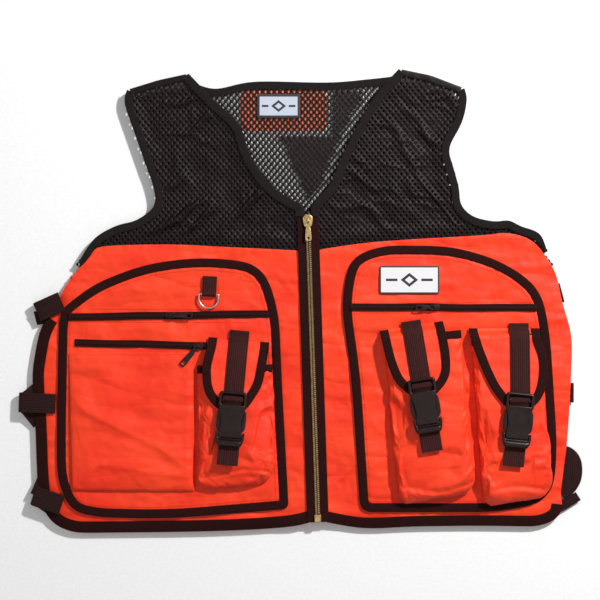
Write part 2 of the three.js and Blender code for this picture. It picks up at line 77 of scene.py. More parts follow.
MM = 0.001
SIDES = {"left": -1, "right": 1}
POUCHES = ("pouch_1", "pouch_2", "pouch_3")
TAU = 2 * math.pi


# ------------------------------------------------------------------ reading the frame
def corners(node):
    """Lowest and highest corner of a CAD node, in millimetres."""
    low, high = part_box(node)
    return np.array(low) / MM, np.array(high) / MM


def cad_mesh(node):
    """A CAD node's vertices in millimetres and its faces."""
    mesh = frame["nodes"][node].data
    points = np.array([v.co for v in mesh.vertices]) / MM
    return points, [list(p.vertices) for p in mesh.polygons]


def top_outline(node):
    """The rims of the part of a CAD node that faces up, as closed loops of [x, y], the outer one first."""
    points, faces = cad_mesh(node)
    keys = [tuple(np.round(p, 2)) for p in points]
    edges = {}
    for face in faces:
        a, b, c = (points[i] for i in face[:3])
        normal = np.cross(b - a, c - a)
        if normal[2] <= 0.05 * np.linalg.norm(normal):
            continue
        for i, j in zip(face, face[1:] + face[:1]):
            start, end = keys[i], keys[j]
            if edges.get(end) and start in edges[end]:
                edges[end].remove(start)
            else:
                edges.setdefault(start, []).append(end)
    loops = []
    while any(edges.values()):
        start = next(k for k, v in edges.items() if v)
        loop = [start]
        here = edges[start].pop()
        while here != start:
            loop.append(here)
            here = edges[here].pop()
        loops.append(np.array(loop)[:, :2])
    loops.sort(key=lambda l: -abs(area_of(l)))
    return loops


def area_of(loop):
    x, y = loop[:, 0], loop[:, 1]
    return 0.5 * float(np.sum(x * np.roll(y, -1) - y * np.roll(x, -1)))


def height_over(node):
    """A function that gives a CAD node's top surface above points x, y."""
    points, faces = cad_mesh(node)
    tree = BVHTree.FromPolygons([Vector(p) for p in points], faces)
    above, down = 500, Vector((0, 0, -1))

    def height(x, y):
        result = np.empty(np.shape(x))
        for index in np.ndindex(result.shape):
            hit = tree.ray_cast(Vector((x[index], y[index], above)), down)[0]
            if hit is None:
                hit = tree.find_nearest(Vector((x[index], y[index], points[:, 2].max())))[0]
            result[index] = hit.z
        return result

    return height


# ------------------------------------------------------------------ plane geometry
def inside(x, y, loops):
    """Which points lie inside an odd number of the loops."""
    result = np.zeros(np.shape(x), bool)
    for loop in loops:
        for (x0, y0), (x1, y1) in zip(loop, np.roll(loop, -1, axis=0)):
            if y0 == y1:
                continue
            crosses = (y0 > y) != (y1 > y)
            result ^= crosses & (x < (x1 - x0) * (y - y0) / (y1 - y0) + x0)
    return result


def to_edge(x, y, loop, closed=True):
    """Distance to a polyline, and how far along it the nearest point is."""
    start = loop if closed else loop[:-1]
    end = np.roll(loop, -1, axis=0) if closed else loop[1:]
    run = np.linalg.norm(end - start, axis=1)
    before = np.concatenate([[0], np.cumsum(run)[:-1]])
    best = np.full(np.shape(x), 1e9)
    along = np.zeros(np.shape(x))
    for (x0, y0), (x1, y1), length, s in zip(start, end, run, before):
        if length < 1e-9:
            continue
        ux, uy = (x1 - x0) / length, (y1 - y0) / length
        t = np.clip((x - x0) * ux + (y - y0) * uy, 0, length)
        d = np.hypot(x - x0 - t * ux, y - y0 - t * uy)
        closer = d < best
        best = np.where(closer, d, best)
        along = np.where(closer, s + t, along)
    return best, along


def refine(loop, step, closed=True):
    """The polyline with its long sides divided so that no piece is longer than step."""
    ends = np.roll(loop, -1, axis=0) if closed else loop[1:]
    result = []
    for a, b in zip(loop, ends):
        pieces = max(1, int(math.ceil(np.linalg.norm(b - a) / step)))
        result.extend(a + (b - a) * k / pieces for k in range(pieces))
    if not closed:
        result.append(loop[-1])
    return np.array(result)


def evenly(path, step, closed=False):
    """The polyline resampled with even spacing, which also softens its corners a little."""
    if closed:
        path = np.vstack([path, path[:1]])
    run = length_along(path)
    count = max(3, int(round(run[-1] / step)) + 1)
    stations = np.linspace(0, run[-1], count)
    result = np.stack([np.interp(stations, run, path[:, k]) for k in range(path.shape[1])], axis=1)
    return result[:-1] if closed else result


def softened(path, rounds=2, closed=False):
    """The polyline with each point drawn towards its neighbours, that many times."""
    for _ in range(rounds):
        inner = 0.25 * np.roll(path, 1, axis=0) + 0.5 * path + 0.25 * np.roll(path, -1, axis=0)
        if not closed:
            inner[0], inner[-1] = path[0], path[-1]
        path = inner
    return path


def left_of(path, closed=False):
    """Unit vectors to the left of the direction of travel."""
    if closed:
        along = np.roll(path, -1, axis=0) - np.roll(path, 1, axis=0)
    else:
        along = np.gradient(path, axis=0)
    along /= np.maximum(np.linalg.norm(along, axis=1, keepdims=True), 1e-9)
    return np.stack([-along[:, 1], along[:, 0]], axis=1)


def corner_of(loop, direction):
    """The index of the loop's furthest point that way."""
    return int(np.argmax(loop @ np.array(direction, float)))


def nearest(loop, point):
    return int(np.argmin(np.linalg.norm(loop - np.array(point)[:2], axis=1)))


def length_along(path):
    """The distance along a polyline at each of its points."""
    return np.concatenate([[0], np.cumsum(np.linalg.norm(np.diff(path, axis=0), axis=1))])


def run_between(loop, start, end, by=None):
    """The stretch of a closed loop between two of its points, the shorter way round or the one through by."""
    ahead = np.array([loop[i % len(loop)] for i in range(start, start + (end - start) % len(loop) + 1)])
    back = np.array([loop[i % len(loop)] for i in range(start, start - (start - end) % len(loop) - 1, -1)])
    if by is not None:
        return ahead if any(np.all(p == loop[by]) for p in ahead) else back
    return ahead if length_along(ahead)[-1] <= length_along(back)[-1] else back


# ------------------------------------------------------------------ smooth noise
def noise(x, y, scale, seed):
    """Gradient noise of about -1 to 1 whose bumps are about scale across."""
    period = 64
    angle = np.random.default_rng(seed).uniform(0, TAU, (period, period))
    gx, gy = np.cos(angle), np.sin(angle)
    u, v = np.asarray(x) / scale, np.asarray(y) / scale
    i, j = np.floor(u).astype(int), np.floor(v).astype(int)
    fu, fv = u - i, v - j

    def lattice(di, dj):
        a, b = (i + di) % period, (j + dj) % period
        return gx[a, b] * (fu - di) + gy[a, b] * (fv - dj)

    su, sv = (f * f * f * (f * (f * 6 - 15) + 10) for f in (fu, fv))
    top = lattice(0, 0) * (1 - su) + lattice(1, 0) * su
    bottom = lattice(0, 1) * (1 - su) + lattice(1, 1) * su
    return 1.5 * (top * (1 - sv) + bottom * sv)


def creases(x, y, scale, seed, angle=0.0, stretch=2.2, sharp=0.16):
    """Thin raised folds that wander mostly one way, from 0 to 1."""
    c, s = math.cos(angle), math.sin(angle)
    u, v = (x * c + y * s) / stretch, -x * s + y * c
    u = u + 0.35 * scale * noise(x, y, scale * 1.3, seed + 7)
    v = v + 0.35 * scale * noise(x, y, scale * 1.3, seed + 8)
    ridge = np.exp(-((noise(u, v, scale, seed) / sharp) ** 2))
    fade = np.clip(0.5 + 0.9 * noise(x, y, scale * 1.7, seed + 9), 0, 1)
    return ridge * fade


# ------------------------------------------------------------------ meshes
class Frame:
    """A local frame: an origin and three unit axes, all in the row frame."""

    def __init__(self, origin, x, y, z):
        self.origin = np.asarray(origin, float)
        self.basis = np.stack([np.asarray(a, float) / np.linalg.norm(a) for a in (x, y, z)])

    def out(self, points):
        return np.asarray(points, float) @ self.basis + self.origin

    def moved(self, x=0.0, y=0.0, z=0.0):
        return Frame(self.out([x, y, z]), *self.basis)


def mesh_object(name, points, faces, material, body="garment", uv=None, smooth_angle=40, at=None,
                stands_for=None):
    """A mesh object from points in millimetres, in the frame at, that rides on body and replaces a CAD node.
    uv is one pair for each corner of each face."""
    if at is not None:
        points = at.out(points)
    mesh = bpy.data.meshes.new(name)
    total = [len(f) for f in faces]
    flat = np.fromiter((i for f in faces for i in f), np.int32, sum(total))
    mesh.vertices.add(len(points))
    mesh.vertices.foreach_set("co", (np.asarray(points, np.float64) * MM).astype(np.float32).ravel())
    mesh.loops.add(len(flat))
    mesh.loops.foreach_set("vertex_index", flat)
    mesh.polygons.add(len(faces))
    mesh.polygons.foreach_set("loop_start", np.concatenate([[0], np.cumsum(total)[:-1]]).astype(np.int32))
    mesh.update(calc_edges=True)
    if uv is not None:
        layer = mesh.uv_layers.new(name="UVMap")
        layer.data.foreach_set("uv", np.asarray(uv, np.float32).ravel())
    mesh.validate()
    mesh.shade_smooth()
    if smooth_angle:
        mesh.set_sharp_from_angle(angle=math.radians(smooth_angle))
    obj = bpy.data.objects.new(name, mesh)
    bpy.context.scene.collection.objects.link(obj)
    obj.data.materials.append(material)
    if body:
        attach(obj, body)
    if stands_for:
        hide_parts(stands_for)
    return obj


def grid_faces(rows, columns, open_rows=True, flip=False):
    """Quads over closed rows of points. flip turns them to face the other way."""
    faces = []
    for r in range(rows - 1 if open_rows else rows):
        for i in range(columns):
            here, after = r * columns, (r + 1) % rows * columns
            j = (i + 1) % columns
            face = [here + i, after + i, after + j, here + j]
            faces.append(face[:1] + face[:0:-1] if flip else face)
    return faces


def fill(loops, step, margin):
    """Points and triangles over the area inside the loops, on a grid of that step."""
    low = np.min(loops[0], axis=0)
    high = np.max(loops[0], axis=0)
    gx, gy = np.meshgrid(np.arange(low[0], high[0], step), np.arange(low[1], high[1], step * 0.87))
    gx[1::2] += step / 2
    gx, gy = gx.ravel(), gy.ravel()
    keep = inside(gx, gy, loops)
    for loop in loops:
        keep &= to_edge(gx, gy, loop)[0] > margin
    rim = np.vstack(loops)
    points = np.vstack([rim, np.stack([gx[keep], gy[keep]], axis=1)])
    edges = []
    at = 0
    for loop in loops:
        edges += [(at + i, at + (i + 1) % len(loop)) for i in range(len(loop))]
        at += len(loop)
    found = delaunay_2d_cdt([Vector(p) for p in points], edges, [], 0, 1e-6)
    out = np.array([v[:] for v in found[0]])
    faces = np.array([f for f in found[2] if len(f) == 3])
    centre = out[faces].mean(axis=1)
    faces = faces[inside(centre[:, 0], centre[:, 1], loops)]
    origin = {i: k for k, sources in enumerate(found[3]) for i in sources}
    rim_index = [origin[i] for i in range(len(rim))]
    return out, faces, rim_index


def slab(name, loops, height, thickness, material, radius=None, step=4.0, rings=2, **options):
    """A sheet or plate over the area inside the loops, with rounded edges; height gives its top at x, y."""
    radius = thickness / 2 if radius is None else radius
    loops = [refine(np.asarray(l, float), step) for l in loops]
    loops = [l if (area_of(l) > 0) == (k == 0) else l[::-1] for k, l in enumerate(loops)]
    turns = [k / rings * math.pi / 2 for k in range(rings + 1)]
    normals = [left_of(l, closed=True) for l in loops]
    shells = [[l + n * radius * (1 - math.cos(t)) for l, n in zip(loops, normals)] for t in turns]
    flat, triangles, rim = fill(shells[-1], step, step * 0.55)
    points, faces = [], []
    count = sum(len(l) for l in loops)
    for top in (True, False):
        base = len(points)
        for shell, turn in zip(shells[:-1], turns):
            ring = np.vstack(shell)
            z = height(ring[:, 0], ring[:, 1])
            drop = radius * (1 - math.sin(turn))
            z = z - drop if top else z - thickness + drop
            points.extend(np.column_stack([ring, z]))
        inner = len(points)
        z = height(flat[:, 0], flat[:, 1]) - (0 if top else thickness)
        points.extend(np.column_stack([flat, z]))
        order = (lambda f: f) if top else (lambda f: f[::-1])
        faces.extend(order([inner + i for i in t]) for t in triangles)
        starts = [base + k * count for k in range(len(shells) - 1)]
        rows = [[s + i for i in range(count)] for s in starts] + [[inner + rim[i] for i in range(count)]]
        for outer, inner_row in zip(rows, rows[1:]):
            at = 0
            for loop in loops:
                size = len(loop)
                for i in range(size):
                    j = (i + 1) % size
                    faces.append(order([outer[at + i], outer[at + j], inner_row[at + j], inner_row[at + i]]))
                at += size
        if top:
            first = rows[0]
    second = [len(points) - len(flat) - (len(shells) - 1) * count + i for i in range(count)]
    at = 0
    for loop in loops:
        size = len(loop)
        for i in range(size):
            j = (i + 1) % size
            faces.append([first[at + j], first[at + i], second[at + i], second[at + j]])
        at += size
    return mesh_object(name, points, faces, material, **options)


def swept(name, path, across, section, material, **options):
    """A closed section of [across, up] pairs swept along a path of points, its sides parallel to across."""
    path = np.asarray(path, float)
    across = np.asarray(across, float)
    if across.ndim == 1:
        across = np.tile(across / np.linalg.norm(across), (len(path), 1))
    along = np.gradient(path, axis=0)
    along /= np.linalg.norm(along, axis=1, keepdims=True)
    up = np.cross(across, along)
    up /= np.linalg.norm(up, axis=1, keepdims=True)
    section = np.asarray(section, float)
    size = len(section)
    points = path[:, None] + across[:, None] * section[None, :, :1] + up[:, None] * section[None, :, 1:]
    points = points.reshape(-1, 3)
    run = length_along(path)
    last = (len(path) - 1) * size
    faces = grid_faces(len(path), size)
    faces.append(list(range(size)))
    faces.append([last + i for i in reversed(range(size))])
    uv = [(section[i % size][0], run[i // size]) for face in faces for i in face]
    return mesh_object(name, points, faces, material, uv=np.array(uv) * MM, **options)


def tape_section(width, thick, ribs=0, rib=0.18):
    """Flat tape about the path's line, centred, with ribs along it when asked."""
    half = width / 2
    edge = thick / 2
    top = []
    columns = max(2, ribs * 2)
    for k in range(columns + 1):
        x = -half + edge + (width - 2 * edge) * k / columns
        top.append((x, edge + (rib if ribs and k % 2 else 0)))
    bottom = [(half - edge, -edge), (-half + edge, -edge)]
    turn_right = [(half - edge * 0.3, edge * 0.7), (half, 0), (half - edge * 0.3, -edge * 0.7)]
    turn_left = [(-half + edge * 0.3, -edge * 0.7), (-half, 0), (-half + edge * 0.3, edge * 0.7)]
    return (top + turn_right + bottom + turn_left)[::-1]


def moved_aside(path, side, across, closed):
    """The path moved sideways. Points that a sharp inner corner folds back are laid along a chord instead."""
    line = path + side * across
    if across < 1.5:
        return line
    clear = to_edge(line[:, 0], line[:, 1], path, closed)[0] > across * 0.95
    at = np.arange(len(path))
    period = len(path) if closed else None
    return np.column_stack([np.interp(at, at[clear], line[clear, k], period=period) for k in (0, 1)])


def edge_tape(name, path, width, height, lift, material, thick=0.9, closed=False, wrap=0.0, step=3.0,
              gather=0.0, **options):
    """A binding laid along a path, reaching width to the left of it. lift is its height above the cloth,
    wrap is how far it turns down round the edge, and gather is how much it puckers."""
    path = evenly(softened(evenly(path, step, closed), 2, closed), step, closed)
    side = left_of(path, closed)
    columns = [(-0.55, -wrap), (-0.75, -wrap * 0.4), (-0.4, 0.75), (0.25, 1), (width * 0.3, 1.06),
               (width * 0.7, 1.06), (width - 0.7, 1), (width - 0.05, 0.8), (width, 0)]
    run = length_along(path)
    rows = []
    for across, up in columns:
        line = moved_aside(path, side, across, closed)
        z = height(line[:, 0], line[:, 1]) + lift
        z = z + (thick * up if up >= 0 else up)
        if gather:
            z = z + gather * noise(run, np.full(len(run), across), 7.0, 31) * (0.4 + across / width)
        rows.append(np.column_stack([line, z]))
    rows += [r - [0, 0, thick * 0.98 + 0.02] for r in rows[3:8]][::-1]  # its underside
    count = len(path)
    points = np.vstack(rows)
    faces, uv = [], []
    last = count if closed else count - 1
    for r in range(len(rows)):
        nxt = (r + 1) % len(rows)
        for i in range(last):
            j = (i + 1) % count
            faces.append([r * count + j, r * count + i, nxt * count + i, nxt * count + j])
            a = columns[min(r, len(columns) - 1)][0]
            b = columns[min(nxt, len(columns) - 1)][0]
            s0, s1 = run[i], run[i] + step
            uv += [(a, s1), (a, s0), (b, s0), (b, s1)]
    if not closed:
        faces.append([r * count for r in range(len(rows))])
        faces.append([r * count + count - 1 for r in reversed(range(len(rows)))])
        uv += [(0, 0)] * (2 * len(rows))
    return mesh_object(name, points, faces, material, uv=np.array(uv) * MM, **options)


def scattered(name, template, places, material, **options):
    """Copies of one small mesh. Each place is (origin, x axis, y axis, z axis)."""
    points, faces = template
    points = np.asarray(points, float)
    all_points, all_faces = [], []
    for k, (origin, ax, ay, az) in enumerate(places):
        basis = np.stack([ax, ay, az])
        all_points.append(points @ basis + origin)
        all_faces.extend([[k * len(points) + i for i in f] for f in faces])
    return mesh_object(name, np.vstack(all_points), all_faces, material, **options)


def capsule(length, width, tall, rows=4, around=6):
    """A stitch: a low rounded bar along x."""
    points = []
    for r in range(rows + 1):
        t = r / rows * math.pi
        x = -length / 2 * math.cos(t)
        size = max(0.25, math.sin(t) ** 0.5)
        for k in range(around):
            a = k / around * TAU
            points.append((x, width / 2 * size * math.cos(a), tall * size * math.sin(a)))
    faces = grid_faces(rows + 1, around, flip=True)
    faces.append(list(range(around))[::-1])
    faces.append([rows * around + k for k in range(around)])
    return points, faces


def bevelled_box(sx, sy, sz, cut):
    """A block centred on the origin whose edges are cut."""
    points = []
    for x in (-1, 1):
        for y in (-1, 1):
            for z in (-1, 1):
                points += [(x * (sx / 2 - cut), y * sy / 2, z * (sz / 2 - cut)),
                           (x * sx / 2, y * (sy / 2 - cut), z * (sz / 2 - cut)),
                           (x * (sx / 2 - cut), y * (sy / 2 - cut), z * sz / 2)]
    return hull(points)


def hull(points):
    """The closed hull of the points, as vertices and faces."""
    bm = bmesh.new()
    for p in points:
        bm.verts.new(p)
    bmesh.ops.convex_hull(bm, input=bm.verts)
    bm.verts.ensure_lookup_table()
    bm.verts.index_update()
    used = [v for v in bm.verts if v.link_faces]
    index = {v: i for i, v in enumerate(used)}
    result = [tuple(v.co) for v in used], [[index[v] for v in f.verts] for f in bm.faces]
    bm.free()
    return result


# ------------------------------------------------------------------ materials
def rgb(red, green, blue):
    """A linear colour from 0-255 display values."""
    linear = [((c / 255 + 0.055) / 1.055) ** 2.4 if c > 10 else c / 255 / 12.92 for c in (red, green, blue)]
    return (*linear, 1)


class Shader:
    """A Principled material, with a few words for adding nodes."""

    def __init__(self, name, slot, color, roughness, metallic=0.0, **sockets):
        self.material = bpy.data.materials.new(name)
        self.material.use_nodes = True
        self.tree = self.material.node_tree
        self.main = self.tree.nodes["Principled BSDF"]
        self.main.inputs["Base Color"].default_value = color
        self.main.inputs["Roughness"].default_value = roughness
        self.main.inputs["Metallic"].default_value = metallic
        for key, value in sockets.items():
            self.main.inputs[key.replace("_", " ")].default_value = value

    def node(self, kind, inputs=None, **settings):
        made = self.tree.nodes.new("ShaderNode" + kind)
        for key, value in settings.items():
            setattr(made, key, value)
        for key, value in (inputs or {}).items():
            if isinstance(value, bpy.types.NodeSocket):
                self.tree.links.new(value, made.inputs[key])
            else:
                made.inputs[key].default_value = value
        return made

    def place(self, kind="Object", scale=(1, 1, 1), turn=0.0):
        source = self.node("TexCoord").outputs[kind]
        mapping = self.node("Mapping", {"Vector": source, "Scale": scale, "Rotation": (0, 0, turn)})
        return mapping.outputs["Vector"]

    def noise(self, vector, scale, detail=3.0, roughness=0.55):
        return self.node("TexNoise", {"Vector": vector, "Scale": scale, "Detail": detail,
                                      "Roughness": roughness}).outputs["Fac"]

    def math(self, operation, a, b=0.5):
        return self.node("Math", {0: a, 1: b}, operation=operation).outputs[0]

    def split(self, vector):
        return self.node("SeparateXYZ", {"Vector": vector}).outputs

    def ribs(self, coordinate, pitch):
        """Rounded ridges across a coordinate in metres."""
        return self.math("ABSOLUTE", self.math("SINE", self.math("MULTIPLY", coordinate, math.pi / pitch)))

    def ramp(self, factor, *stops):
        made = self.node("ValToRGB", {"Fac": factor})
        ramp = made.color_ramp
        while len(ramp.elements) < len(stops):
            ramp.elements.new(0.5)
        for element, (position, color) in zip(ramp.elements, stops):
            element.position = position
            element.color = color
        return made.outputs["Color"]

    def link(self, output, socket):
        self.tree.links.new(output, self.main.inputs[socket])

    def bump(self, height, distance, strength=1.0, onto=None):
        inputs = {"Height": height, "Distance": distance, "Strength": strength}
        if onto is not None:
            inputs["Normal"] = onto
        made = self.node("Bump", inputs)
        self.link(made.outputs["Normal"], "Normal")
        return made.outputs["Normal"]

    def weave(self, vector, pitch):
        """Two crossed sets of rounded threads of that pitch in metres."""
        split = self.split(vector)
        return self.math("MULTIPLY", self.ribs(split["X"], pitch), self.ribs(split["Y"], pitch))


def grey(value):
    return (value, value, value, 1)


def make_nylon(name, light, deep):
    """Coated nylon taffeta: blotches of colour, broad and fine wrinkles, and a plain weave."""
    s = Shader(name, "orange_nylon", light, 0.5, Sheen_Weight=0.06, Sheen_Roughness=0.4,
               Specular_IOR_Level=0.3)
    where = s.place()
    blotch = s.noise(where, 14, 4)
    s.link(s.ramp(blotch, (0.36, deep), (0.62, light)), "Base Color")
    fine = s.noise(where, 900, 2)
    s.link(s.ramp(fine, (0.3, grey(0.44)), (0.7, grey(0.58))), "Roughness")
    broad = s.noise(where, 13, 3, 0.5)
    total = s.math("MULTIPLY", broad, 1.6)
    for lean, scale, sharp in ((0.75, 11, 7), (-0.45, 19, 6), (1.9, 26, 5)):
        wander = s.noise(s.place(scale=(0.35, 1, 1), turn=lean), scale, 2, 0.45)
        valley = s.math("MULTIPLY", s.math("ABSOLUTE", s.math("SUBTRACT", wander, 0.5)), sharp)
        total = s.math("ADD", total, s.math("MULTIPLY", s.math("MINIMUM", valley, 1.0), 0.22))
    wrinkled = s.bump(total, 0.0062, 0.95)
    soft = s.bump(s.noise(where, 60, 5, 0.6), 0.0011, 0.5, onto=wrinkled)
    s.bump(s.weave(where, 0.0007), 0.00012, 0.55, onto=soft)
    return s.material


def make_tape(name, color, light):
    """Grosgrain: fine ribs across the tape, from its UV, which runs along it in metres."""
    s = Shader(name, "black_trim", color, 0.8, Specular_IOR_Level=0.12)
    split = s.split(s.place("UV"))
    ribs = s.ribs(split["Y"], 0.0009)
    cross = s.ribs(split["X"], 0.0006)
    fuzz = s.noise(s.place(), 1500, 3)
    # Painted highlight: the crests of the ribs are coloured paler, as if they caught the light.
    s.link(s.ramp(s.math("MULTIPLY", ribs, fuzz), (0.15, color), (0.62, light)), "Base Color")
    s.bump(s.math("ADD", ribs, s.math("MULTIPLY", cross, 0.35)), 0.00022, 0.8)
    return s.material


def make_webbing(name, color, light):
    """Woven strap: long ribs and, between them, a close herringbone; the raised threads are painted paler, a
    painted highlight.
    """
    s = Shader(name, "black_trim", color, 0.7, Specular_IOR_Level=0.2)
    split = s.split(s.place("UV"))
    long_ribs = s.ribs(split["X"], 0.0026)
    picks = s.ribs(s.math("ADD", split["Y"], s.math("PINGPONG", split["X"], 0.00175)), 0.0011)
    fuzz = s.noise(s.place(), 1200, 3)
    woven = s.math("MULTIPLY", s.math("ADD", picks, s.math("MULTIPLY", long_ribs, 1.2)), fuzz)
    # Painted highlight: the raised ribs and picks are coloured paler, as if they caught the light.
    s.link(s.ramp(woven, (0.3, color), (1.0, light)), "Base Color")
    s.bump(s.math("ADD", picks, long_ribs), 0.0003, 0.9)
    return s.material


def make_net(name, color, light):
    """Polyester yarn with a slight shine."""
    s = Shader(name, "black_net", color, 0.42, Specular_IOR_Level=0.2)
    where = s.place()
    s.link(s.ramp(s.noise(where, 700, 3), (0.35, color), (0.7, light)), "Base Color")
    s.bump(s.noise(where, 1600, 2), 0.0003, 0.8)
    return s.material


def make_plastic(name, color):
    """Moulded plastic with a fine spark texture and patches of handling shine."""
    s = Shader(name, "black_plastic", color, 0.34, Specular_IOR_Level=0.34)
    where = s.place()
    s.link(s.ramp(s.noise(where, 120, 4), (0.35, grey(0.30)), (0.7, grey(0.42))), "Roughness")
    s.bump(s.noise(where, 2600, 2), 0.00004, 0.5)
    return s.material


def make_metal(name, slot, color, dark, roughness, metallic=1.0):
    """Plated or enamelled metal, duller and darker where it is worn."""
    s = Shader(name, slot, color, roughness, metallic)
    where = s.place()
    wear = s.noise(where, 260, 5, 0.65)
    s.link(s.ramp(wear, (0.3, dark), (0.55, color)), "Base Color")
    s.link(s.ramp(wear, (0.3, grey(roughness + 0.2)), (0.7, grey(roughness))), "Roughness")
    s.bump(s.noise(where, 900, 3), 0.00003, 0.4)
    return s.material


def make_thread(name, slot, color):
    s = Shader(name, slot, color, 0.6, Sheen_Weight=0.04, Specular_IOR_Level=0.16)
    s.bump(s.noise(s.place(), 3000, 2), 0.00008, 0.6)
    return s.material


def make_label(name, low, high, ground, ink, border):
    """A woven label: a dark border and a plain device of bars and a lozenge, in object space."""
    s = Shader(name, "white_label", ground, 0.6, Sheen_Weight=0.2)
    split = s.split(s.place())
    centre, half = (low + high) / 2 * MM, (high - low) / 2 * MM
    more, less = partial(s.math, "GREATER_THAN"), partial(s.math, "LESS_THAN")
    both, either = partial(s.math, "MULTIPLY"), partial(s.math, "MAXIMUM")
    x, y = (s.math("ABSOLUTE", s.math("SUBTRACT", split[axis], float(c))) for axis, c in zip("XY", centre))
    rim = either(more(x, float(half[0] - border * MM)), more(y, float(half[1] - border * MM)))
    diamond = s.math("ADD", both(x, 0.8), y)
    lozenge = both(less(diamond, float(half[1] * 0.5)), more(diamond, float(half[1] * 0.26)))
    ends = both(less(x, float(half[0] * 0.78)), more(x, float(half[1] * 0.85)))
    bar = both(less(y, float(half[1] * 0.09)), ends)
    mark = either(rim, either(lozenge, bar))
    s.link(s.ramp(mark, (0.45, ground), (0.55, ink)), "Base Color")
    s.bump(s.weave(s.place(), 0.0005), 0.0001, 0.6)
    return s.material


nylon = make_nylon("blaze_nylon", rgb(250, 65, 26), rgb(243, 50, 19))
# The second colour of each tape below is its painted highlight on the rib crests.
tape = make_tape("grosgrain", rgb(27, 5, 4), rgb(52, 17, 14))
net_tape = make_tape("grosgrain_black", rgb(16, 12, 12), rgb(44, 37, 36))
# Painted light: the tag patch is the same orange nylon, coloured paler to stand in for the light that reaches
# it under the net.
patch_nylon_painted_lit = make_nylon("patch_nylon_painted_lit", rgb(255, 132, 92), rgb(252, 112, 74))
# The second colour of each webbing below is its painted highlight on the raised threads.
webbing = make_webbing("strap_webbing", rgb(24, 4, 4), rgb(70, 27, 25))
dark_webbing = make_webbing("side_webbing", rgb(13, 3, 3), rgb(52, 21, 20))
net_yarn = make_net("net_yarn", rgb(11, 4, 4), rgb(30, 15, 15))
net_cloth = make_net("net_doubled", rgb(12, 5, 5), rgb(24, 14, 14))
plastic = make_plastic("moulded_plastic", rgb(26, 7, 7))
brass = make_metal("brass", "brass", rgb(226, 196, 140), rgb(150, 118, 74), 0.26)
black_metal = make_metal("black_enamel", "black_metal", rgb(46, 32, 32), rgb(24, 16, 16), 0.3, 0.6)
nickel = make_metal("nickel", "nickel_steel", rgb(222, 216, 208), rgb(150, 142, 134), 0.22)
orange_thread = make_thread("orange_thread", "orange_nylon", rgb(236, 62, 24))
black_thread = make_thread("black_thread", "black_trim", rgb(44, 20, 20))


# ------------------------------------------------------------------ levels of the cloth
# Levels of the wrinkled cloth, a little under the tops of the CAD plates so that it stays inside them.
front_low, front_high = corners("left_front_panel")
FRONT = front_high[2] - 0.9
POCKET = corners("left_pocket_panel")[1][2] - 0.7
NET_Z = front_low[2] + 0.9
BACK = corners("back_lower_panel")[1][2] - 0.8
DROOP = 3.5  # how far the free edges of the fronts sink towards the back
DROOP_REACH = 26.0
ZIP_X = 12  # the fronts don't sink beside the main zipper

front_loops = {side: top_outline(f"{side}_front_panel")[0] for side in SIDES}
yoke_loops = {side: top_outline(f"{side}_net_yoke")[0] for side in SIDES}
back_net_loop = top_outline("back_net_panel")[0]
back_loop = top_outline("back_lower_panel")[0]


def outer_run(side):
    """The free edge of a front, from the seam with the net down the side and along the hem to the zipper."""
    loop = front_loops[side]
    start = corner_of(yoke_loops[side], (SIDES[side], -0.5))
    start = nearest(loop, yoke_loops[side][start])
    foot = corner_of(loop, (-SIDES[side], -1.2))
    return softened(evenly(run_between(loop, start, foot, by=corner_of(loop, (SIDES[side], 0))), 6))


outer_edges = {side: outer_run(side) for side in SIDES}


def droop(x, y):
    """The fronts sink towards the back at their free edges."""
    x, y = np.asarray(x, float), np.asarray(y, float)
    result = np.zeros(x.shape)
    for side, edge in outer_edges.items():
        near = to_edge(x, y, edge[edge[:, 1] < edge[:, 1].max() - DROOP_REACH], closed=False)[0]
        result = np.maximum(result, np.clip(1 - near / DROOP_REACH, 0, 1) ** 2)
    return -DROOP * result * np.clip((np.abs(x - ZIP_X) - 14) / 30, 0, 1)


def nylon_relief(seed, edge, pucker=0.45, broad=0.6, crease=0.75, angle=0.0):
    """Wrinkles of a nylon panel: broad swells, wandering creases and short puckers along its seams."""

    def relief(x, y):
        near, along = to_edge(x, y, edge)
        swell = broad * noise(x, y, 95, seed) + 0.45 * noise(x, y, 34, seed + 1)
        fold = crease * (creases(x, y, 46, seed + 2, angle) - 0.25)
        fold += 0.6 * crease * (creases(x, y, 21, seed + 3, angle + 1.1, 1.6, 0.2) - 0.2)
        gathers = pucker * noise(along, near * 0.35, 6.5, seed + 4) * np.exp(-near / 9)
        calm = np.clip(near / 14, 0.25, 1)
        return (swell + fold) * calm + gathers

    return relief


def over(level, relief, low, high, drooping=True):
    """A height function: the relief on a level, kept between two limits."""

    def height(x, y):
        z = level + np.clip(relief(x, y), low, high)
        return z + droop(x, y) if drooping else z

    return height


# ------------------------------------------------------------------ camera, light and floor
VIEW_WIDTH = 0.750  # metres across the picture
LIGHTS = {  # place, size and power
    "key": ((1.2, 1.2, 1.5), 0.14, 58),
    "fill": ((-1.3, 0.3, 1.5), 1.2, 4.5),
    "top": ((0.0, -0.6, 2.2), 1.6, 5),
}
FLOOR_REACH = 12000.0
FLOOR_LEVEL = -0.05


def add_object(name, data, place):
    made = bpy.data.objects.new(name, data)
    made.location = place
    bpy.context.scene.collection.objects.link(made)
    return made


